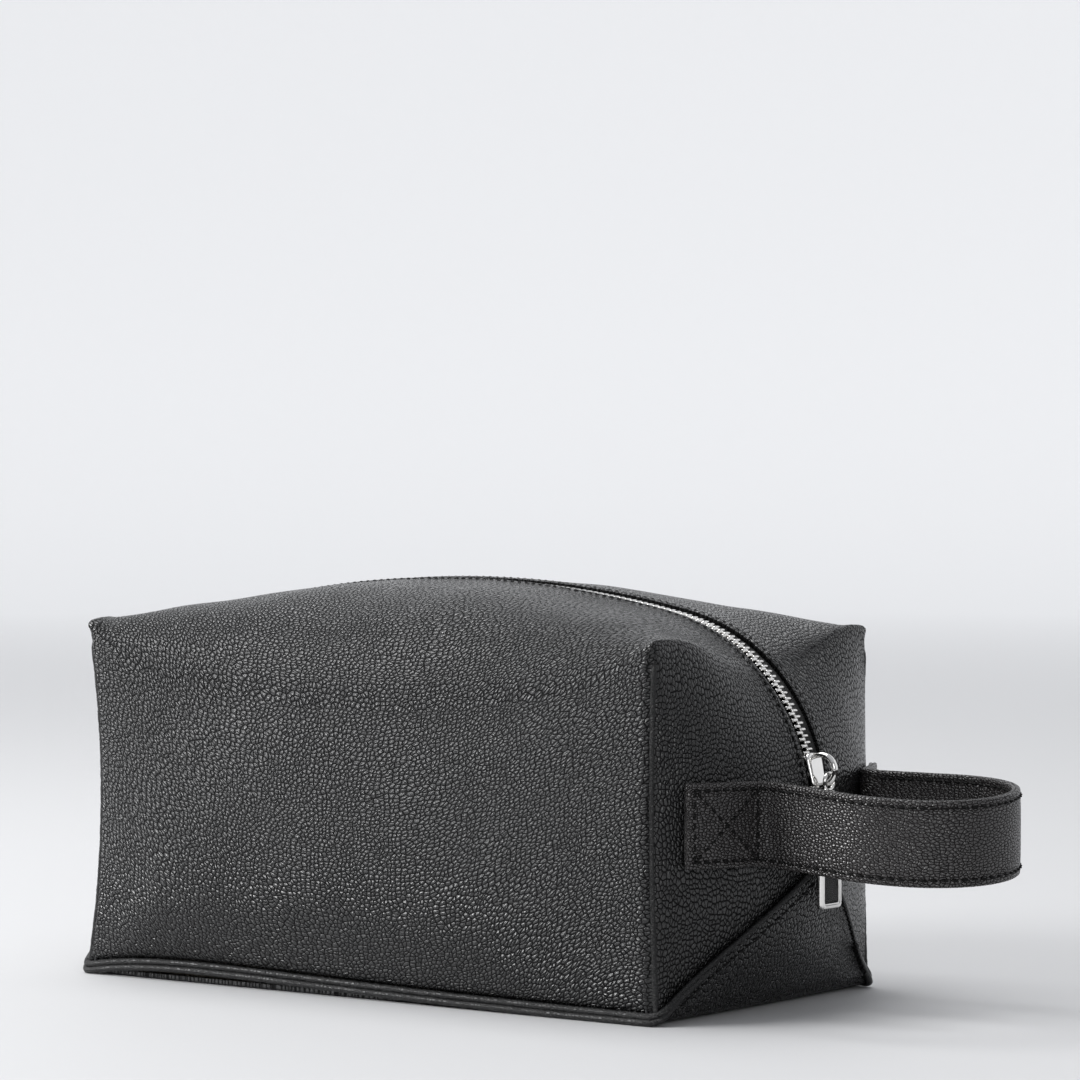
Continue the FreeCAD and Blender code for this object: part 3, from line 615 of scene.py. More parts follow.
TOP_SHARES = graded(2 * EAR_REACH, True, 2.6)
ACROSS_SHARES = graded(HALF_WIDTH - ZIP_SLOT, True, 2.6)


def wall_top(x):
    """Height where the front face starts to turn over into the top."""
    reach = np.abs(x)
    middle = WALL_MIDDLE + (WALL_SHOULDER - WALL_MIDDLE) * (reach / WALL_TURN) ** 2
    out = np.maximum(reach - WALL_TURN, 0) / (EAR_REACH - WALL_TURN)
    corner = WALL_SHOULDER + (EAR_HEIGHT - WALL_SHOULDER) * out ** 1.4
    return np.where(reach < WALL_TURN, middle, np.where(reach < EAR_REACH, corner, EAR_HEIGHT))


def slot_edge(height):
    """Distance of the leather edge from the middle: open beside the zip, closed below it."""
    return 0.3 + (ZIP_SLOT - 0.3) * smoothstep(69, 75, height)


def roof_stations():
    """Edge point, zip point and both handles of each curve across the ends and the top."""
    stations = []
    for index in range(END_STATIONS):
        share = index / END_STATIONS
        stations.append(end_station(share, 1))
    for share in TOP_SHARES:
        stations.append(top_station(share))
    for index in range(END_STATIONS - 1, -1, -1):
        stations.append(end_station(index / END_STATIONS, -1))
    return stations


def crest_height(x):
    """Height of the rounded top edge, a third of the way from the face to the zip."""
    return CREST_MIDDLE - (CREST_MIDDLE - EAR_HEIGHT) * smoothstep(CREST_TURN, EAR_REACH, np.abs(x))


def crest_rise(x, edge_height, zip_height):
    """Upward handle that carries a curve across the top over the crest."""
    near = (1 - CREST_SHARE) ** 3 + 3 * CREST_SHARE * (1 - CREST_SHARE) ** 2
    handle = 3 * CREST_SHARE * (1 - CREST_SHARE) ** 2
    return (float(crest_height(x)) - near * edge_height - (1 - near) * zip_height) / handle


def end_station(share, side):
    height = FOOT + (EAR_HEIGHT - FOOT) * share
    edge = np.array([side * float(seam_x(height, side_waist(side))), -HALF_WIDTH, height])
    x, z, _, _ = zip_point(EAR_ARC * share)
    centre = np.array([side * x, -float(slot_edge(z)), z])
    control = np.array([centre[0], (edge[1] + centre[1]) / 2, centre[2]])
    edge_handle = (control - edge) * 2 / 3
    edge_handle[0] *= 1.0 if side > 0 else LEFT_END_FULLNESS
    at_ear = float(smoothstep(0.8, 1.0, share))
    edge_handle[2] *= 1 - float(smoothstep(0.55, 0.95, share))
    edge_handle[2] += at_ear * EAR_RISE * crest_rise(EAR_REACH, EAR_HEIGHT, float(z))
    return edge, centre, edge_handle, (control - centre) * 2 / 3


def top_station(share):
    arc = EAR_ARC + (ZIP_LENGTH - 2 * EAR_ARC) * share
    zip_x, zip_z, _, _ = zip_point(arc)
    x = EAR_REACH * (1 - 2 * share)
    edge = np.array([x, -HALF_WIDTH, float(wall_top(x))])
    centre = np.array([zip_x, -ZIP_SLOT, zip_z])
    control = np.array([centre[0], (edge[1] + centre[1]) / 2, centre[2]])
    from_ear = EAR_REACH - abs(x)
    turned = float(smoothstep(0, 16, from_ear))
    full = float(smoothstep(0, 90, from_ear))
    rise = crest_rise(x, edge[2], float(zip_z))
    rise *= EAR_RISE + (1 - EAR_RISE) * float(smoothstep(0, 9, from_ear))
    edge_handle = (control - edge) * [2 / 3, 2 / 3, 0] * (1 - turned) + np.array([0, 0, rise])
    reach = TOP_FLATNESS[0] + (TOP_FLATNESS[1] - TOP_FLATNESS[0]) * full
    centre_handle = (control - centre) * 2 / 3 * (1 - turned) + np.array([0, -reach, 0]) * turned
    return edge, centre, edge_handle, centre_handle


def across_curve(station, shares):
    edge, centre, edge_handle, centre_handle = station
    t = shares[:, None]
    return (edge * (1 - t) ** 3 + 3 * (edge + edge_handle) * t * (1 - t) ** 2
            + 3 * (centre + centre_handle) * t * t * (1 - t) + centre * t ** 3)


def face_grid():
    """Front face, row by row from the base edge up to where it turns over."""
    rows = []
    for row in range(FACE_ROWS):
        share = row / FACE_ROWS
        columns = []
        for top_share in TOP_SHARES:
            x = EAR_REACH * (1 - 2 * top_share)
            low = FOOT + float(base_lift(x))
            z = low + (float(wall_top(x)) - low) * share
            seam = float(seam_x(z, side_waist(x)))
            reach = abs(x) / EAR_REACH
            drawn = (seam - EAR_REACH) * reach ** 3
            puff = FACE_BULGE * (1 - reach ** BULGE_POWER) * math.sin(math.pi * share) ** 0.7
            side = 1 if x > 0 else -1
            columns.append((x + side * drawn, -HALF_WIDTH - puff, z))
        rows.append(columns)
    return np.array(rows)


def half_hide():
    """Points, faces and cutting place of the front T-shaped hide, outer skin only."""
    columns = len(TOP_SHARES)
    across = len(ACROSS_SHARES)
    stations = roof_stations()
    face = face_grid()
    roof = np.array([across_curve(station, ACROSS_SHARES) for station in stations])
    points = np.vstack([face.reshape(-1, 3), roof.reshape(-1, 3)])
    start = face.shape[0] * columns
    faces = grid_faces(FACE_ROWS, columns)
    top_row = [(FACE_ROWS - 1) * columns + c for c in range(columns)]
    shared = [start + (END_STATIONS + c) * across for c in range(columns)]
    faces += [(top_row[c], top_row[c + 1], shared[c + 1], shared[c]) for c in range(columns - 1)]
    roof_faces = grid_faces(len(stations), across, start)
    faces += [(a, b, c, d)[::-1] for a, b, c, d in roof_faces]
    faces = flipped(faces)
    face_fixed = np.zeros(face.shape[:2], bool)
    face_fixed[0] = True
    face_fixed[:, [0, -1]] = True
    roof_fixed = np.zeros(roof.shape[:2], bool)
    roof_fixed[:, -1] = True
    roof_fixed[[0, -1]] = True
    roof_fixed[: END_STATIONS + 1, 0] = True
    roof_fixed[END_STATIONS + columns - 1:, 0] = True
    fixed = np.concatenate([face_fixed.ravel(), roof_fixed.ravel()])
    near_ear = (points[:, 2] > EAR_HEIGHT - EAR_ROUNDING) & (points[:, 1] < -HALF_WIDTH + 0.5)
    fixed[near_ear] = False
    return points, faces, fixed, cutting_places(face, roof)


def cutting_places(face, roof):
    """Where each point lies on the flat hide, so that the grain runs on over the folds."""
    face_flat = face[:, :, [0, 2]]
    lengths = np.linalg.norm(np.diff(roof, axis=1), axis=2)
    across = np.concatenate([np.zeros((len(roof), 1)), np.cumsum(lengths, axis=1)], axis=1)
    along = np.concatenate([
        EAR_REACH + EAR_HEIGHT * (1 - np.arange(END_STATIONS) / END_STATIONS),
        EAR_REACH * (1 - 2 * TOP_SHARES),
        -EAR_REACH - EAR_HEIGHT * (1 - np.arange(END_STATIONS - 1, -1, -1) / END_STATIONS),
    ])
    start = np.concatenate([
        np.full(END_STATIONS, EAR_HEIGHT),
        wall_top(EAR_REACH * (1 - 2 * TOP_SHARES)),
        np.full(END_STATIONS, EAR_HEIGHT),
    ])
    roof_flat = np.stack([np.repeat(along[:, None], across.shape[1], 1), start[:, None] + across], axis=2)
    return np.vstack([face_flat.reshape(-1, 2), roof_flat.reshape(-1, 2)])


def neighbour_table(faces, count):
    near = [set() for _ in range(count)]
    for face in faces:
        for index, corner in enumerate(face):
            near[corner].add(face[(index + 1) % len(face)])
            near[corner].add(face[index - 1])
    widest = max(len(group) for group in near)
    table = np.zeros((count, widest), int)
    for index, group in enumerate(near):
        table[index] = sorted(group) + [index] * (widest - len(group))
    return table


def relaxed(points, faces, fixed, rounds):
    """Lets the folds round themselves while seams and cut edges stay."""
    table = neighbour_table(faces, len(points))
    free = ~fixed
    for _ in range(rounds):
        pull = points[table].mean(axis=1) - points
        points[free] += 0.5 * pull[free]
    return points


def skin_normals(points, faces):
    normals = np.zeros_like(points)
    quads = np.array(faces)
    cross = np.cross(points[quads[:, 2]] - points[quads[:, 0]], points[quads[:, 3]] - points[quads[:, 1]])
    for corner in range(4):
        np.add.at(normals, quads[:, corner], cross)
    return unit(normals)


def soft_dents(points, normals, fixed, seed):
    """Slow hand-made unevenness of stuffed leather, none at the seams."""
    edge = points[fixed]
    moved = np.array(points)
    for index, point in enumerate(points):
        if fixed[index]:
            continue
        gap = np.sqrt(((edge - point) ** 2).sum(axis=1).min())
        calm = min(1.0, gap / CALM_EDGE)
        place = Vector(point) * 0.022 + Vector((seed, 0, 0))
        small = Vector(point) * 0.06 + Vector((0, seed, 0))
        dent = 1.1 * noise.noise(place) + 0.35 * noise.noise(small)
        moved[index] = point + normals[index] * dent * calm
    return moved


def rolled_in(points, normals, distance, reach, depth):
    """Turns a sheet in towards the seam over the last few millimetres."""
    share = np.clip(1 - distance / reach, 0, 1)
    return points - normals * (depth * share ** 2)[:, None]


def seam_distance(points, faces_fixed):
    gap = np.full(len(points), 1e3)
    edge = points[faces_fixed]
    for start in range(0, len(points), 2000):
        block = points[start:start + 2000]
        gap[start:start + 2000] = np.sqrt(((block[:, None] - edge[None]) ** 2).sum(axis=2).min(axis=1))
    return gap


def front_hide():
    points, faces, fixed, flat = half_hide()
    points = relaxed(points, faces, fixed, 8)
    seam = fixed & (points[:, 1] < -HALF_WIDTH + 0.5)
    normals = skin_normals(points, faces)
    distance = seam_distance(points, np.flatnonzero(seam))
    return points, faces, fixed, flat, normals, distance


HIDE = front_hide()


def make_hide(name, side, seed, *nodes):
    points, faces, fixed, flat, normals, distance = HIDE
    points = soft_dents(points, normals, fixed, seed)
    points = rolled_in(points, normals, distance, *SEAM_ROLL)
    from_slot = np.abs(points[:, 1]) - ZIP_SLOT
    swell = np.sin(np.clip(from_slot / HEM_WIDTH, 0, 1) * math.pi)
    ridge = np.where((points[:, 2] > HEM_BOTTOM) & (from_slot < HEM_WIDTH), swell, 0)
    points = points + normals * (HEM_HEIGHT * ridge)[:, None]
    if side > 0:
        points = points * [1, -1, 1]
        faces = flipped(faces)
    obj = make_mesh(name, points, faces, flat + [0, 400 * (side > 0)])
    thicken(obj, LEATHER)
    place(obj, None, "body", *nodes)
    weigh(obj)
    return obj


def make_lining_half(name, side, *nodes):
    """Cloth sewn in behind the hide, a little looser than the leather."""
    points, faces, _, flat, normals, _ = HIDE
    depth = LINING_DEPTH + 0.5 * np.array([noise.noise(Vector(p) * 0.05) for p in points])
    points = points - normals * depth[:, None]
    keep = [face for face in faces
            if np.abs(points[list(face), 1]).min() > LINING_SLOT or points[list(face), 2].max() < 70]
    if side > 0:
        points = points * [1, -1, 1]
        keep = flipped(keep)
    used = sorted(set(i for face in keep for i in face))
    renumber = {old: new for new, old in enumerate(used)}
    obj = make_mesh(name, points[used], [tuple(renumber[i] for i in face) for face in keep], flat[used])
    thicken(obj, 0.5, 0.1)
    place(obj, None, "lining", *nodes)
    weigh(obj)


def make_hides():
    make_hide("leather_front", -1, 3.1, "front_panel", "top_front", "right_end_front", "left_end_front")
    make_hide("leather_back", 1, 8.7, "back_panel", "top_back", "right_end_back", "left_end_back")
    make_lining_half("lining_cloth_front", -1, "lining_front", "lining_top_front", "lining_right_end")
    make_lining_half("lining_cloth_back", 1, "lining_back", "lining_top_back", "lining_left_end")


make_hides()


# ---- base, its end triangles and rolled edges

BASE_HALF_WIDTH = HALF_WIDTH - 1.0
TRIANGLE_LAY = 1.1


def triangle_height(y):
    """Height of the folded base triangle's edge at a place across the end."""
    return 3.0 + (TRIANGLE_APEX - 3.0) * (1 - np.abs(y) / BASE_HALF_WIDTH) ** 0.96


def base_profile(y, side):
    """Base leather at one place across: along the underside, round the end and up it."""
    under = side * float(end_wall_x(y, 2.0, side))
    flat_x = np.linspace(0, abs(under) - 5, 24)
    flat = np.column_stack([side * flat_x, np.full(24, y), np.full(24, 1.0)])
    flat[:, 2] -= 0.5 * smoothstep(0, 30, abs(under) - 5 - flat_x)
    turn = np.linspace(0, math.pi / 2, 7)[1:]
    top = float(triangle_height(y))
    bend = min(4.5, top)
    corner = np.column_stack([
        side * (abs(under) - 5 + (5 + TRIANGLE_LAY) * np.sin(turn)),
        np.full(6, y),
        0.5 + bend * (1 - np.cos(turn)),
    ])
    heights = np.linspace(bend + 0.5, max(top, bend + 0.6), 22)[1:]
    lay = TRIANGLE_LAY + 0.9 * smoothstep(0, 3, np.minimum(heights, top))
    wall = np.column_stack([side * (end_wall_x(y, heights, side) + lay), np.full(21, y), heights])
    return np.vstack([flat, corner, wall])


def make_base_leather():
    across = np.concatenate([np.linspace(-1, -0.9, 6, endpoint=False), np.linspace(-0.9, 0.9, 45),
                             np.linspace(0.9, 1, 7)[1:]]) * BASE_HALF_WIDTH
    parts = []
    for side in (-1, 1):
        rows = np.array([base_profile(y, side) for y in across])
        faces = grid_faces(rows.shape[0], rows.shape[1])
        if side < 0:
            faces = flipped(faces)
        steps = np.linalg.norm(np.diff(rows, axis=1), axis=2)
        run = np.concatenate([np.zeros((len(rows), 1)), np.cumsum(steps, axis=1)], axis=1)
        flat = np.stack([side * run, np.broadcast_to(across[:, None] + 300, rows.shape[:2])], axis=2)
        parts.append((rows.reshape(-1, 3), faces, flat.reshape(-1, 2)))
    points, faces = joined([(part[0], part[1]) for part in parts])
    flat = np.vstack([part[2] for part in parts])
    obj = make_mesh("leather_base", points, faces, flat)
    thicken(obj, -1.6, 0.4)
    place(obj, "bag", "body", "base_panel")


def triangle_edge(side, half, lay):
    """The diagonal edge of a base triangle from the front or back corner to its apex."""
    y = half * np.linspace(BASE_HALF_WIDTH, 0, 40)
    height = triangle_height(y)
    x = side * (end_wall_x(y, height, side) + lay)
    return np.column_stack([x, y, height])


def welt_route(half):
    """Rolled edge: down one diagonal, along the bottom edge and up the other diagonal."""
    left = triangle_edge(-1, half, 1.9)[::-1]
    right = triangle_edge(1, half, 1.9)
    x = np.linspace(-HALF_LENGTH - 0.5, HALF_LENGTH + 0.5, 90)
    bottom = np.column_stack([x, np.full(90, half * (HALF_WIDTH - 0.4)), 2.9 + base_lift(x)])
    route = np.vstack([left[:-1], bottom, right[1:]])
    return resample(eased(resample(route, 1.5), 6), 1.5)


def ribbed(route, radius, amount, seed):
    """Radius along a roll with the small ripples of leather gathered round a cord."""
    ripples = [noise.noise(Vector(p) * 0.55 + Vector((seed, 0, 0))) for p in route]
    return radius * (1 + amount * np.array(ripples))


def make_welts():
    for half, word in HALF_WORDS.items():
        route = welt_route(half)
        on_diagonal = smoothstep(5, 12, route[:, 2])
        points, faces = tube(route, ribbed(route, 1.4, 0.1, half) - 0.45 * on_diagonal, sides=12)
        obj = make_mesh("welt_" + word, points, faces)
        place(obj, "bag", "trim", "base_welt_" + word)
        lower = route[40:-40] + [0, half * 0.9, -2.2]
        lower[:, 2] = np.maximum(lower[:, 2], 1.35)
        points, faces = tube(lower, ribbed(lower, 1.25, 0.08, half + 4), sides=10)
        place(make_mesh("base_edge_" + word, points, faces), "bag", "trim")


def make_corner_rolls():
    for side, end in END_WORDS.items():
        for half, word in HALF_WORDS.items():
            heights = np.linspace(4.0, EAR_HEIGHT - 5.0, 110)
            x = seam_x(heights, side_waist(side)) - 0.4 - 1.6 * smoothstep(124, 132, heights)
            y = np.full(110, HALF_WIDTH - 1.9) - 1.4 * smoothstep(122, 132, heights)
            route = np.column_stack([side * x, half * y, heights])
            taper = 1 - 0.5 * smoothstep(124, 132, heights)
            radius = ribbed(route, 1.15, 0.16, side + 2 * half) * taper
            points, faces = tube(route, radius, sides=10, up=(0, 1, 0))
            name = "corner_roll_%s_%s" % (end, word)
            obj = make_mesh(name, points, faces)
            place(obj, "bag", "trim", "corner_piping_%s_%s" % (end, word))


make_base_leather()
make_welts()
make_corner_rolls()


# ---- stitches

def stitch_run(path, outward, length=2.6, gap=1.1, radius=0.42, slant=0.2):
    """Stitches along a path: short threads that dip into the leather at both ends."""
    fine = resample(np.hstack([path, outward]), 0.25)
    step = int(round((length + gap) / 0.25))
    span = int(round(length / 0.25))
    parts = []
    for start in range(0, len(fine) - span, step):
        piece = fine[start:start + span + 1]
        middle = piece[:, :3]
        normal = unit(piece[:, 3:])
        share = np.linspace(-1, 1, len(middle))
        tangent = middle[-1] - middle[0]
        sideways = np.cross(tangent / np.linalg.norm(tangent), normal[len(normal) // 2])
        arch = middle + normal * (0.3 - 0.75 * share[:, None] ** 4) + sideways * (slant * share[:, None])
        picks = np.linspace(0, len(arch) - 1, 6).round().astype(int)
        parts.append(tube(arch[picks], radius * (1 - 0.2 * share[picks] ** 2), sides=6, up=sideways))
    return parts


def sewn(name, parts, body=None):
    return place(make_mesh(name, *joined(parts)), body, "thread")


def make_triangle_stitches():
    for side, end in END_WORDS.items():
        parts = []
        for half in (-1, 1):
            y = half * np.linspace(BASE_HALF_WIDTH - 9, 3.0, 60)
            height = triangle_height(y) - 3.6
            path = np.column_stack([side * (end_wall_x(y, height, side) + 3.75), y, height])
            outward = np.column_stack([np.full(60, side * 1.0), y / 100, np.zeros(60)])
            parts += stitch_run(path, outward)
        sewn("base_stitches_" + end, parts, "bag")


make_triangle_stitches()


# ---- zip

STOP_ARC = shoulder_arc(SLIDER_ANGLE + math.radians(8))


def zip_frame(arc, depth):
    """Point below the outer skin of the zip line, and the outward direction, at a length along it."""
    x, z, ahead_x, ahead_z = zip_point(arc)
    out_x, out_z = ahead_z, -ahead_x
    return np.array([x - out_x * depth, 0, z - out_z * depth]), np.array([out_x, 0, out_z]), np.array(
        [ahead_x, 0, ahead_z])


def make_tape(side, *nodes):
    arcs = np.arange(STOP_ARC - 6, ZIP_LENGTH - STOP_ARC + 6, 1.6)
    offsets = np.array([2.0, 2.5, 3.2, 4.2, 5.4, 6.8, 8.4])
    lift = np.array([0.0, 0.0, -0.35, -0.2, 0.0, 0.0, 0.0])
    rows = []
    flat = []
    for arc in arcs:
        point, outward, _ = zip_frame(arc, TAPE_DEPTH)
        rows.append([point + [0, side * y, 0] + outward * rise for y, rise in zip(offsets, lift)])
        flat.append([(arc, y) for y in offsets])
    obj = make_sheet("zip_cloth_" + HALF_WORDS[side], rows, np.array(flat).reshape(-1, 2), flip=side > 0)
    thicken(obj, 0.5, 0.1)
    place(obj, None, "tape", *nodes)
    weigh(obj)


def tooth_points():
    """One tooth, long axis along Y towards the other row: clamp legs, neck and rounded head."""
    stations = [(-0.15, 0.50, 0.75), (0.0, 0.62, 0.95), (1.3, 0.62, 1.05), (1.7, 0.52, 1.0),
                (2.5, 0.6, 1.05), (3.2, 0.66, 1.0), (3.55, 0.5, 0.75), (3.65, 0.25, 0.4)]
    turns = np.linspace(0, 2 * math.pi, 12, endpoint=False)
    rings = []
    for y, half_length, half_height in stations:
        cosine = np.sign(np.cos(turns)) * np.abs(np.cos(turns)) ** 0.6
        sine = np.sign(np.sin(turns)) * np.abs(np.sin(turns)) ** 0.6
        rings.append(np.column_stack([cosine * half_length, np.full(12, y), sine * half_height]))
    points, faces = lofted(rings)
    return points, flipped(faces)


def make_teeth(side, *nodes):
    shape, faces = tooth_points()
    first = shoulder_arc(SLIDER_ANGLE) + 2.0
    parts = []
    shares = []
    arc = first + (TOOTH_PITCH / 2 if side > 0 else 0)
    while arc < ZIP_LENGTH - STOP_ARC - 1:
        point, outward, ahead = zip_frame(arc, TEETH_DEPTH - 0.35)
        local = np.array(shape)
        local[:, 1] = 3.1 - local[:, 1]
        placed = (point + local[:, :1] * ahead + local[:, 2:] * outward
                  + local[:, 1:2] * np.array([0, side, 0]))
        parts.append((placed, faces if side > 0 else flipped(faces)))
        shares += [mouth_share(np.array([[point[0], side * ZIP_SLOT, point[2]]]))[0]] * len(shape)
        arc += TOOTH_PITCH
    points, all_faces = joined(parts)
    obj = make_mesh("zip_row_" + HALF_WORDS[side], points, all_faces)
    place(obj, None, "teeth", *nodes)
    weigh(obj, shares)


def make_zip_stitches(side):
    arcs = np.arange(STOP_ARC + 2, ZIP_LENGTH - STOP_ARC, 1.0)
    path = []
    outward = []
    for arc in arcs:
        point, out, _ = zip_frame(arc, 0.1)
        path.append(point + [0, side * (ZIP_SLOT + 2.4), 0])
        outward.append(out)
    parts = stitch_run(np.array(path), np.array(outward), length=2.2, radius=0.3)
    weigh(sewn("zip_stitches_" + HALF_WORDS[side], parts))


def make_zip():
    make_tape(-1, "zip_tape_front", "zip_tape_right_end")
    make_tape(1, "zip_tape_back", "zip_tape_left_end")
    make_teeth(-1, "zip_teeth_front", "zip_teeth_right_end")
    make_teeth(1, "zip_teeth_back", "zip_teeth_left_end")
    for side in (-1, 1):
        make_zip_stitches(side)


make_zip()


# ---- slider and pull

def slider_frame():
    point, outward, ahead = zip_frame(shoulder_arc(SLIDER_ANGLE), TEETH_DEPTH)
    return point, -ahead, np.array([0, 1, 0]), outward


def plate_outline(length, front, back, corners=6):
    """Slider plate seen from above: broad shoulders at the closed end, narrower at the mouth."""
    half = length / 2
    points = []
    for centre_x, centre_y, start, radius in (
        (half - 2.2, front - 2.2, 0, 2.2), (-half + 2.6, back - 2.6, 90, 2.6),
        (-half + 2.6, -back + 2.6, 180, 2.6), (half - 2.2, -front + 2.2, 270, 2.2),
    ):
        for angle in np.radians(np.linspace(start, start + 90, corners)):
            points.append((centre_x + radius * math.cos(angle), centre_y + radius * math.sin(angle)))
    return np.array(points)


def stacked(outline, levels):
    """Closed solid from copies of an outline: (scale inset in mm, height) per level."""
    rings = []
    centre = outline.mean(axis=0)
    reach = np.linalg.norm(outline - centre, axis=1)[:, None]
    for inset, height in levels:
        ring = centre + (outline - centre) * (1 - inset / reach)
        rings.append(np.column_stack([ring, np.full(len(ring), height)]))
    return lofted(rings)


def make_slider():
    origin, along, across, outward = slider_frame()

    def placed(points):
        return (origin + points[:, :1] * along + points[:, 1:2] * across + points[:, 2:] * outward)

    outline = plate_outline(13.4, 4.2, 4.7)
    top = stacked(outline, [(0.5, 1.5), (0.0, 1.9), (0.0, 2.3), (0.35, 2.75), (1.1, 3.0), (2.4, 3.12)])
    bottom = stacked(outline, [(1.1, -3.0), (0.3, -2.8), (0.0, -2.3), (0.0, -1.9), (0.5, -1.5)])
    post = stacked(plate_outline(4.4, 1.3, 1.5) * [1, 0.6] + [3.4, 0], [(0, -1.9), (0, 1.9)])
    points, faces = joined([(placed(p), f) for p, f in (top, bottom, post)])
    obj = make_mesh("slider_body", points, faces)
    sharpen(obj, 40)
    place(obj, "slider", "nickel", "zip_slider")
    turn = np.linspace(0, math.pi, 25)
    legs = np.array([(-5.4, 0, 2.4), (-5.4, 0, 3.6)])
    arch = np.column_stack([-5.4 * np.cos(turn), np.zeros(25), 4.9 + 5.4 * np.sin(turn)])
    path = np.vstack([legs, arch, legs[::-1] * [-1, 1, 1]])
    points, faces = tube(resample(eased(path, 3), 0.6), 1.0, sides=14, up=(0, 1, 0), flatten=1.35)
    bail = make_mesh("slider_loop", placed(points), faces)
    place(bail, "slider", "nickel", "slider_bail")


def sharpen(obj, angle):
    """Shades a metal piece smooth except at its real edges."""
    bpy.context.view_layer.objects.active = obj
    obj.select_set(True)
    bpy.ops.object.shade_smooth_by_angle(angle=math.radians(angle))
    obj.select_set(False)
    settle(obj)


def make_metal_finishes():
    for node in ("pull_connector", "zip_top_stops", "zip_bottom_stop"):
        paint(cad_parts[node], FINISH["nickel"])
    paint(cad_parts["base_board"], FINISH["board"])
    for node in ("anchor_backing_front", "anchor_backing_back"):
        paint(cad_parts[node], FINISH["binding"])


def rounded_rectangle(half_width, half_height, radius, corners=8):
    points = []
    for sign_y, sign_z, start in ((1, 1, 0), (-1, 1, 90), (-1, -1, 180), (1, -1, 270)):
        centre = (sign_y * (half_width - radius), sign_z * (half_height - radius))
        for angle in np.radians(np.linspace(start, start + 90, corners)):
            points.append((centre[0] + radius * math.cos(angle), centre[1] + radius * math.sin(angle)))
    return np.array(points)


def make_pull():
    low, high = cad_box("pull_frame")
    middle = (low + high) / 2
    half_depth, half_width, _ = (high - low) / 2
    window_low, window_high = cad_box("pull_inlay")
    window_half = (window_high - window_low) / 2
    window_middle = (window_high + window_low) / 2
    play = 0.2
    outer_radius = 1.7
    inner_radius = 0.7
    # rim section, from the outer edge to the window: inset share and depth
    section = [(0.0, 0.0), (0.0, 0.55), (0.12, 0.85), (0.3, 1.0), (0.62, 1.0), (0.7, 0.82), (0.94, 0.8),
               (1.0, 0.55)]
    section += [(inset, -depth) for inset, depth in section[:0:-1]]
    rings = []
    for inset, depth in section:
        size_y = half_width + (window_half[1] + play - half_width) * inset
        low_z = low[2] + (window_low[2] - play - low[2]) * inset
        high_z = high[2] + (window_high[2] + play - high[2]) * inset
        radius = outer_radius + (inner_radius - outer_radius) * inset
        ring = rounded_rectangle(size_y, (high_z - low_z) / 2, radius)
        rings.append(np.column_stack([np.full(len(ring), middle[0] + half_depth * depth),
                                      ring[:, 0] + middle[1], ring[:, 1] + (low_z + high_z) / 2]))
    count = len(rings[0])
    faces = grid_faces(len(rings), count, closed=True)
    last = (len(rings) - 1) * count
    faces += [(last + i, last + (i + 1) % count, (i + 1) % count, i) for i in range(count)]
    obj = make_mesh("pull_rim", np.vstack(rings), faces)
    sharpen(obj, 38)
    place(obj, "pull", "nickel", "pull_frame")
    bar = rounded_rectangle(window_half[1] + play, window_half[2] + play, inner_radius)
    levels = [(0.3, -0.55), (0, -0.4), (0, 0.4), (0.3, 0.55)]
    solid, bar_faces = stacked(bar, [(inset, share * half_depth) for inset, share in levels])
    points = np.column_stack([solid[:, 2] + middle[0], solid[:, 0], solid[:, 1] + window_middle[2]])
    inlay = make_mesh("pull_leather", points, bar_faces, np.tile(bar, (len(levels), 1)))
    place(inlay, "pull", "inlay", "pull_inlay")


make_slider()
make_pull()
make_metal_finishes()


# ---- handle

STRAP_HEIGHT = 68.5
STRAP_END = 61.0
LEAVE_ANGLE = math.radians(18.7)
BEND_RADIUS = 6.5
TIP_CENTRE = 190.0
TIP_HALF_WIDTH = 34.4
TIP_REACH = 41.0
STRAP_DROOP = 3.5
STRAP_ROLL = 0.08


def end_circle():
    """Circle that the end wall follows in plan at strap height."""
    reach = float(end_x(STRAP_HEIGHT))
    bulge = reach - float(seam_x(STRAP_HEIGHT, RIGHT_WAIST))
    radius = (bulge ** 2 + HALF_WIDTH ** 2) / (2 * bulge)
    return reach - radius, radius


def strap_plan():
    """Middle of the strap in plan, from the front anchor round the loop to the back anchor."""
    centre_x, radius = end_circle()
    reach = radius + 0.5 + STRAP_THICKNESS / 2
    anchor = -math.asin(STRAP_END / reach)
    turns = np.linspace(anchor, -LEAVE_ANGLE, 24)
    wall = np.column_stack([centre_x + reach * np.cos(turns), reach * np.sin(turns)])
    bend_centre = np.array([centre_x + (reach + BEND_RADIUS) * math.cos(LEAVE_ANGLE),
                            -(reach + BEND_RADIUS) * math.sin(LEAVE_ANGLE)])
    headings = np.linspace(math.pi / 2 - LEAVE_ANGLE, math.radians(-5), 14)
    bend = bend_centre + BEND_RADIUS * np.column_stack([-np.sin(headings), np.cos(headings)])
    tip_turns = np.linspace(-math.pi / 2, 0, 40)
    tip = np.column_stack([TIP_CENTRE + TIP_REACH * np.cos(tip_turns), TIP_HALF_WIDTH * np.sin(tip_turns)])
    front = resample(np.vstack([wall, bend[1:], tip]), 1.0)
    front = eased(front, 8)
    return np.vstack([front, front[-2::-1] * [1, -1]])


def strap_axes():
    """Centre line in space with the outward direction of the strap at each point."""
    plan = resample(strap_plan(), 1.3)
    tangent = unit(np.gradient(plan, axis=0))
    outward = np.column_stack([tangent[:, 1], -tangent[:, 0], np.zeros(len(plan))])
    free = np.clip((plan[:, 0] - 150) / 85, 0, 1)
    height = STRAP_HEIGHT + 1.0 - STRAP_DROOP * free + STRAP_ROLL * plan[:, 1] * free
    return np.column_stack([plan, height]), outward


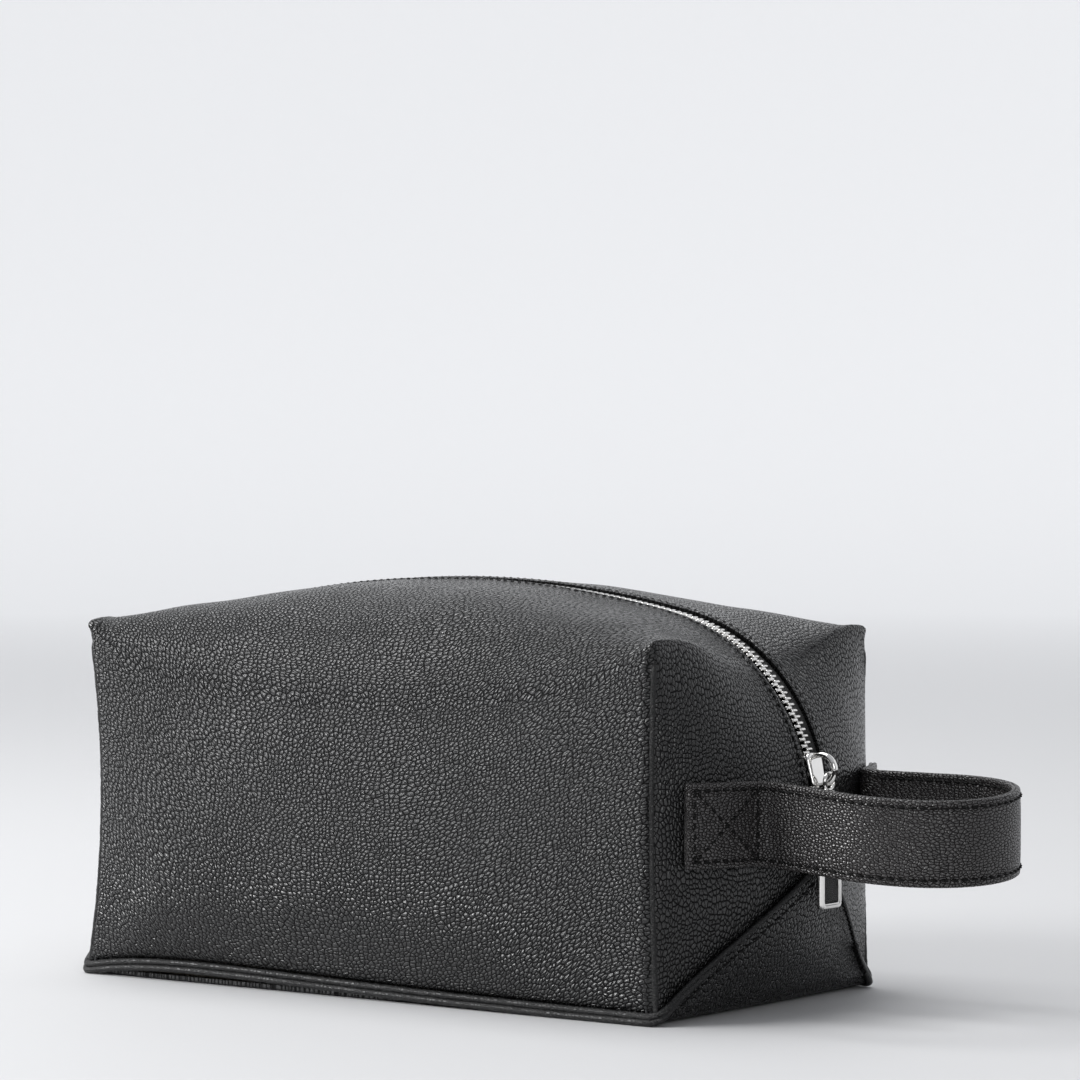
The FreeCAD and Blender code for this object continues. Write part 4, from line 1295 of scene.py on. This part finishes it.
def strap_section():
    """Round the strap's section: (across its width, out from its middle)."""
    half = STRAP_WIDTH / 2
    thick = STRAP_THICKNESS / 2
    face = [(half - 0.9, thick - 0.02), (half - 1.6, thick + 0.06), (half - 2.2, thick - 0.16),
            (half - 2.9, thick - 0.16), (half - 3.6, thick + 0.06),
            (half - 6, thick + 0.14), (5, thick + 0.18)]
    upper = [(half - 0.35, 0.0), (half, 0.35), (half + 0.02, 0.9), (half - 0.3, 1.4)] + face
    outer = upper + [(-w, o) for w, o in upper[::-1]]
    inner = [(-w, -o) for w, o in outer[1:-1]]
    return np.array(outer + inner)


def make_strap():
    centre, outward = strap_axes()
    section = strap_section()
    rise = np.array([0, 0, 1.0])
    points = (centre[:, None] + section[None, :, :1] * rise + section[None, :, 1:] * outward[:, None])
    arc = run_lengths(centre)
    points, faces = lofted(points)
    count = len(section)
    girth = run_lengths(section)
    flat = np.stack([np.broadcast_to(arc[:, None], (len(arc), count)),
                     np.broadcast_to(girth[None], (len(arc), count))], axis=2).reshape(-1, 2)
    obj = make_mesh("handle_strap", points, faces, flat)
    place(obj, None, "strap",
          "handle_anchor_front_outer", "handle_anchor_front_inner", "handle_anchor_back_outer",
          "handle_anchor_back_inner", "handle_loop_outer", "handle_loop_inner")
    bend_strap(obj)


def bend_strap(obj):
    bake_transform(obj)


def strap_rows():
    """Stitch rows along both edges and the boxed cross at each anchor."""
    centre, outward = strap_axes()
    lift = STRAP_THICKNESS / 2
    inset = STRAP_WIDTH / 2 - 2.55
    parts = []
    inside = slice(2, -2)
    for level in (-inset, inset):
        for face in (1, -1):
            if face > 0:
                path = centre[inside] + outward[inside] * lift + [0, 0, level]
                parts += stitch_run(path, outward[inside])
                continue
            free = centre[:, 0] > 158
            path = centre[free] - outward[free] * lift + [0, 0, level]
            parts += stitch_run(path, -outward[free])
    arc = run_lengths(centre)
    for from_end in (False, True):
        along = arc if not from_end else arc[-1] - arc
        parts += anchor_cross(centre, outward, along, lift, inset)
    return parts


def anchor_cross(centre, outward, along, lift, inset):
    """Box and cross of stitches over the anchor's first 28 mm."""
    near, far = 2.6, 28.0
    order = np.argsort(along)
    parts = []

    def on_strap(distance, level):
        point = [np.interp(distance, along[order], centre[order, axis]) for axis in range(3)]
        out = [np.interp(distance, along[order], outward[order, axis]) for axis in range(3)]
        return np.array(point) + np.array(out) * lift + [0, 0, level], np.array(out)

    lines = [((near, -inset), (near, inset)), ((far, -inset), (far, inset)),
             ((near + 1, -inset + 1), (far - 1, inset - 1)), ((near + 1, inset - 1), (far - 1, -inset + 1))]
    for (start, low), (end, high) in lines:
        samples = [on_strap(start + (end - start) * t, low + (high - low) * t) for t in np.linspace(0, 1, 20)]
        path = np.array([sample[0] for sample in samples])
        out = np.array([sample[1] for sample in samples])
        parts += stitch_run(path, out)
    return parts


def make_handle():
    make_strap()
    bend_strap(sewn("handle_stitches", strap_rows()))


make_handle()


# ---- inside

def make_inside():
    low, high = cad_box("lining_base")
    columns = np.linspace(low[0], high[0], 70)
    rows = np.array([[(x, y, high[2] + 0.25 + 0.5 * noise.noise(Vector((x, y, 0)) * 0.04)) for x in columns]
                     for y in np.linspace(low[1], high[1], 40)])
    obj = make_sheet("lining_floor", rows, rows[:, :, :2].reshape(-1, 2))
    thicken(obj, 0.5, 0.1)
    place(obj, "bag", "lining", "lining_base")

    low, high = cad_box("pocket_panel")
    gape = 1.4
    x, z = np.meshgrid(np.linspace(low[0], high[0], 60), np.linspace(low[2], high[2], 30))
    up = (z - low[2]) / (high[2] - low[2])
    along = 1 - (2 * x / (high[0] - low[0])) ** 2
    rows = np.stack([x, low[1] - gape * up * along, z], axis=2)
    obj = make_sheet("pocket_cloth", rows, rows[:, :, [0, 2]].reshape(-1, 2))
    thicken(obj, -0.8, 0.1)
    place(obj, "bag", "lining", "pocket_panel")
    sides = 10
    roll, faces = tube(rows[-1] + [0, 0.2, 0], 1.1, sides=sides, flatten=2.2)
    around = np.tile(np.arange(sides), len(rows[-1]))
    binding = make_mesh("pocket_edge", roll, faces, np.column_stack([roll[:, 0], around]))
    place(binding, "bag", "binding", "pocket_binding")


make_inside()


# ---- studio

def make_studio():
    """Seamless pale sweep all round: floor, curve and wall."""
    floor_radius = 3.2
    curve = 1.6
    wall = 4.2
    turns = np.linspace(0, math.pi / 2, 20)
    profile = [(0.001, 0), (0.5, 0), (1.5, 0), (floor_radius, 0)]
    profile += [(floor_radius + curve * math.sin(t), curve * (1 - math.cos(t))) for t in turns[1:]]
    profile.append((floor_radius + curve, wall))
    sides = 96
    around = np.linspace(0, 2 * math.pi, sides, endpoint=False)
    rings = [[(r * math.cos(a) / MM, r * math.sin(a) / MM, z / MM) for a in around] for r, z in profile]
    faces = grid_faces(len(profile), sides, closed=True)
    sweep = make_mesh("studio_sweep", np.array(rings).reshape(-1, 3), faces)
    paint(sweep, studio_paper("studio_paper", (0.52, 0.522, 0.528)))


def area_light(name, place_at, aim, size, power, colour=(1, 1, 1)):
    light = bpy.data.lights.new(name, "AREA")
    light.shape = "RECTANGLE"
    light.size, light.size_y = size
    light.energy = power
    light.color = colour
    obj = bpy.data.objects.new(name, light)
    bpy.context.scene.collection.objects.link(obj)
    obj.location = place_at
    obj.rotation_euler = (Vector(aim) - Vector(place_at)).to_track_quat("-Z", "Y").to_euler()
    return obj


def make_lights():
    world = bpy.data.worlds.new("studio")
    bpy.context.scene.world = world
    world.use_nodes = True
    background = world.node_tree.nodes["Background"]
    background.inputs["Color"].default_value = (0.93, 0.95, 1.0, 1)
    background.inputs["Strength"].default_value = 0.5
    centre = (0, 0, 0.07)
    area_light("top_softbox", (-0.5, 0.0, 1.75), centre, (1.3, 1.3), 28)
    area_light("key_softbox", (-1.35, -1.4, 0.85), centre, (0.95, 0.75), 42)
    area_light("right_fill", (1.9, -1.4, 0.7), centre, (0.7, 0.9), 8)


def make_camera():
    azimuth = math.radians(36.202)
    elevation = math.radians(1.578)
    back = Vector((math.sin(azimuth) * math.cos(elevation), -math.cos(azimuth) * math.cos(elevation),
                   math.sin(elevation)))
    camera = bpy.data.cameras.new("camera")
    camera.lens = 153.33
    camera.sensor_width = 36
    obj = bpy.data.objects.new("camera", camera)
    obj.location = (1.0403, -1.3781, 0.2132)
    obj.rotation_euler = back.to_track_quat("Z", "Y").to_euler()
    bpy.context.scene.collection.objects.link(obj)
    bpy.context.scene.camera = obj


make_studio()
make_lights()
make_camera()
bpy.context.scene.view_settings.view_transform = "Standard"
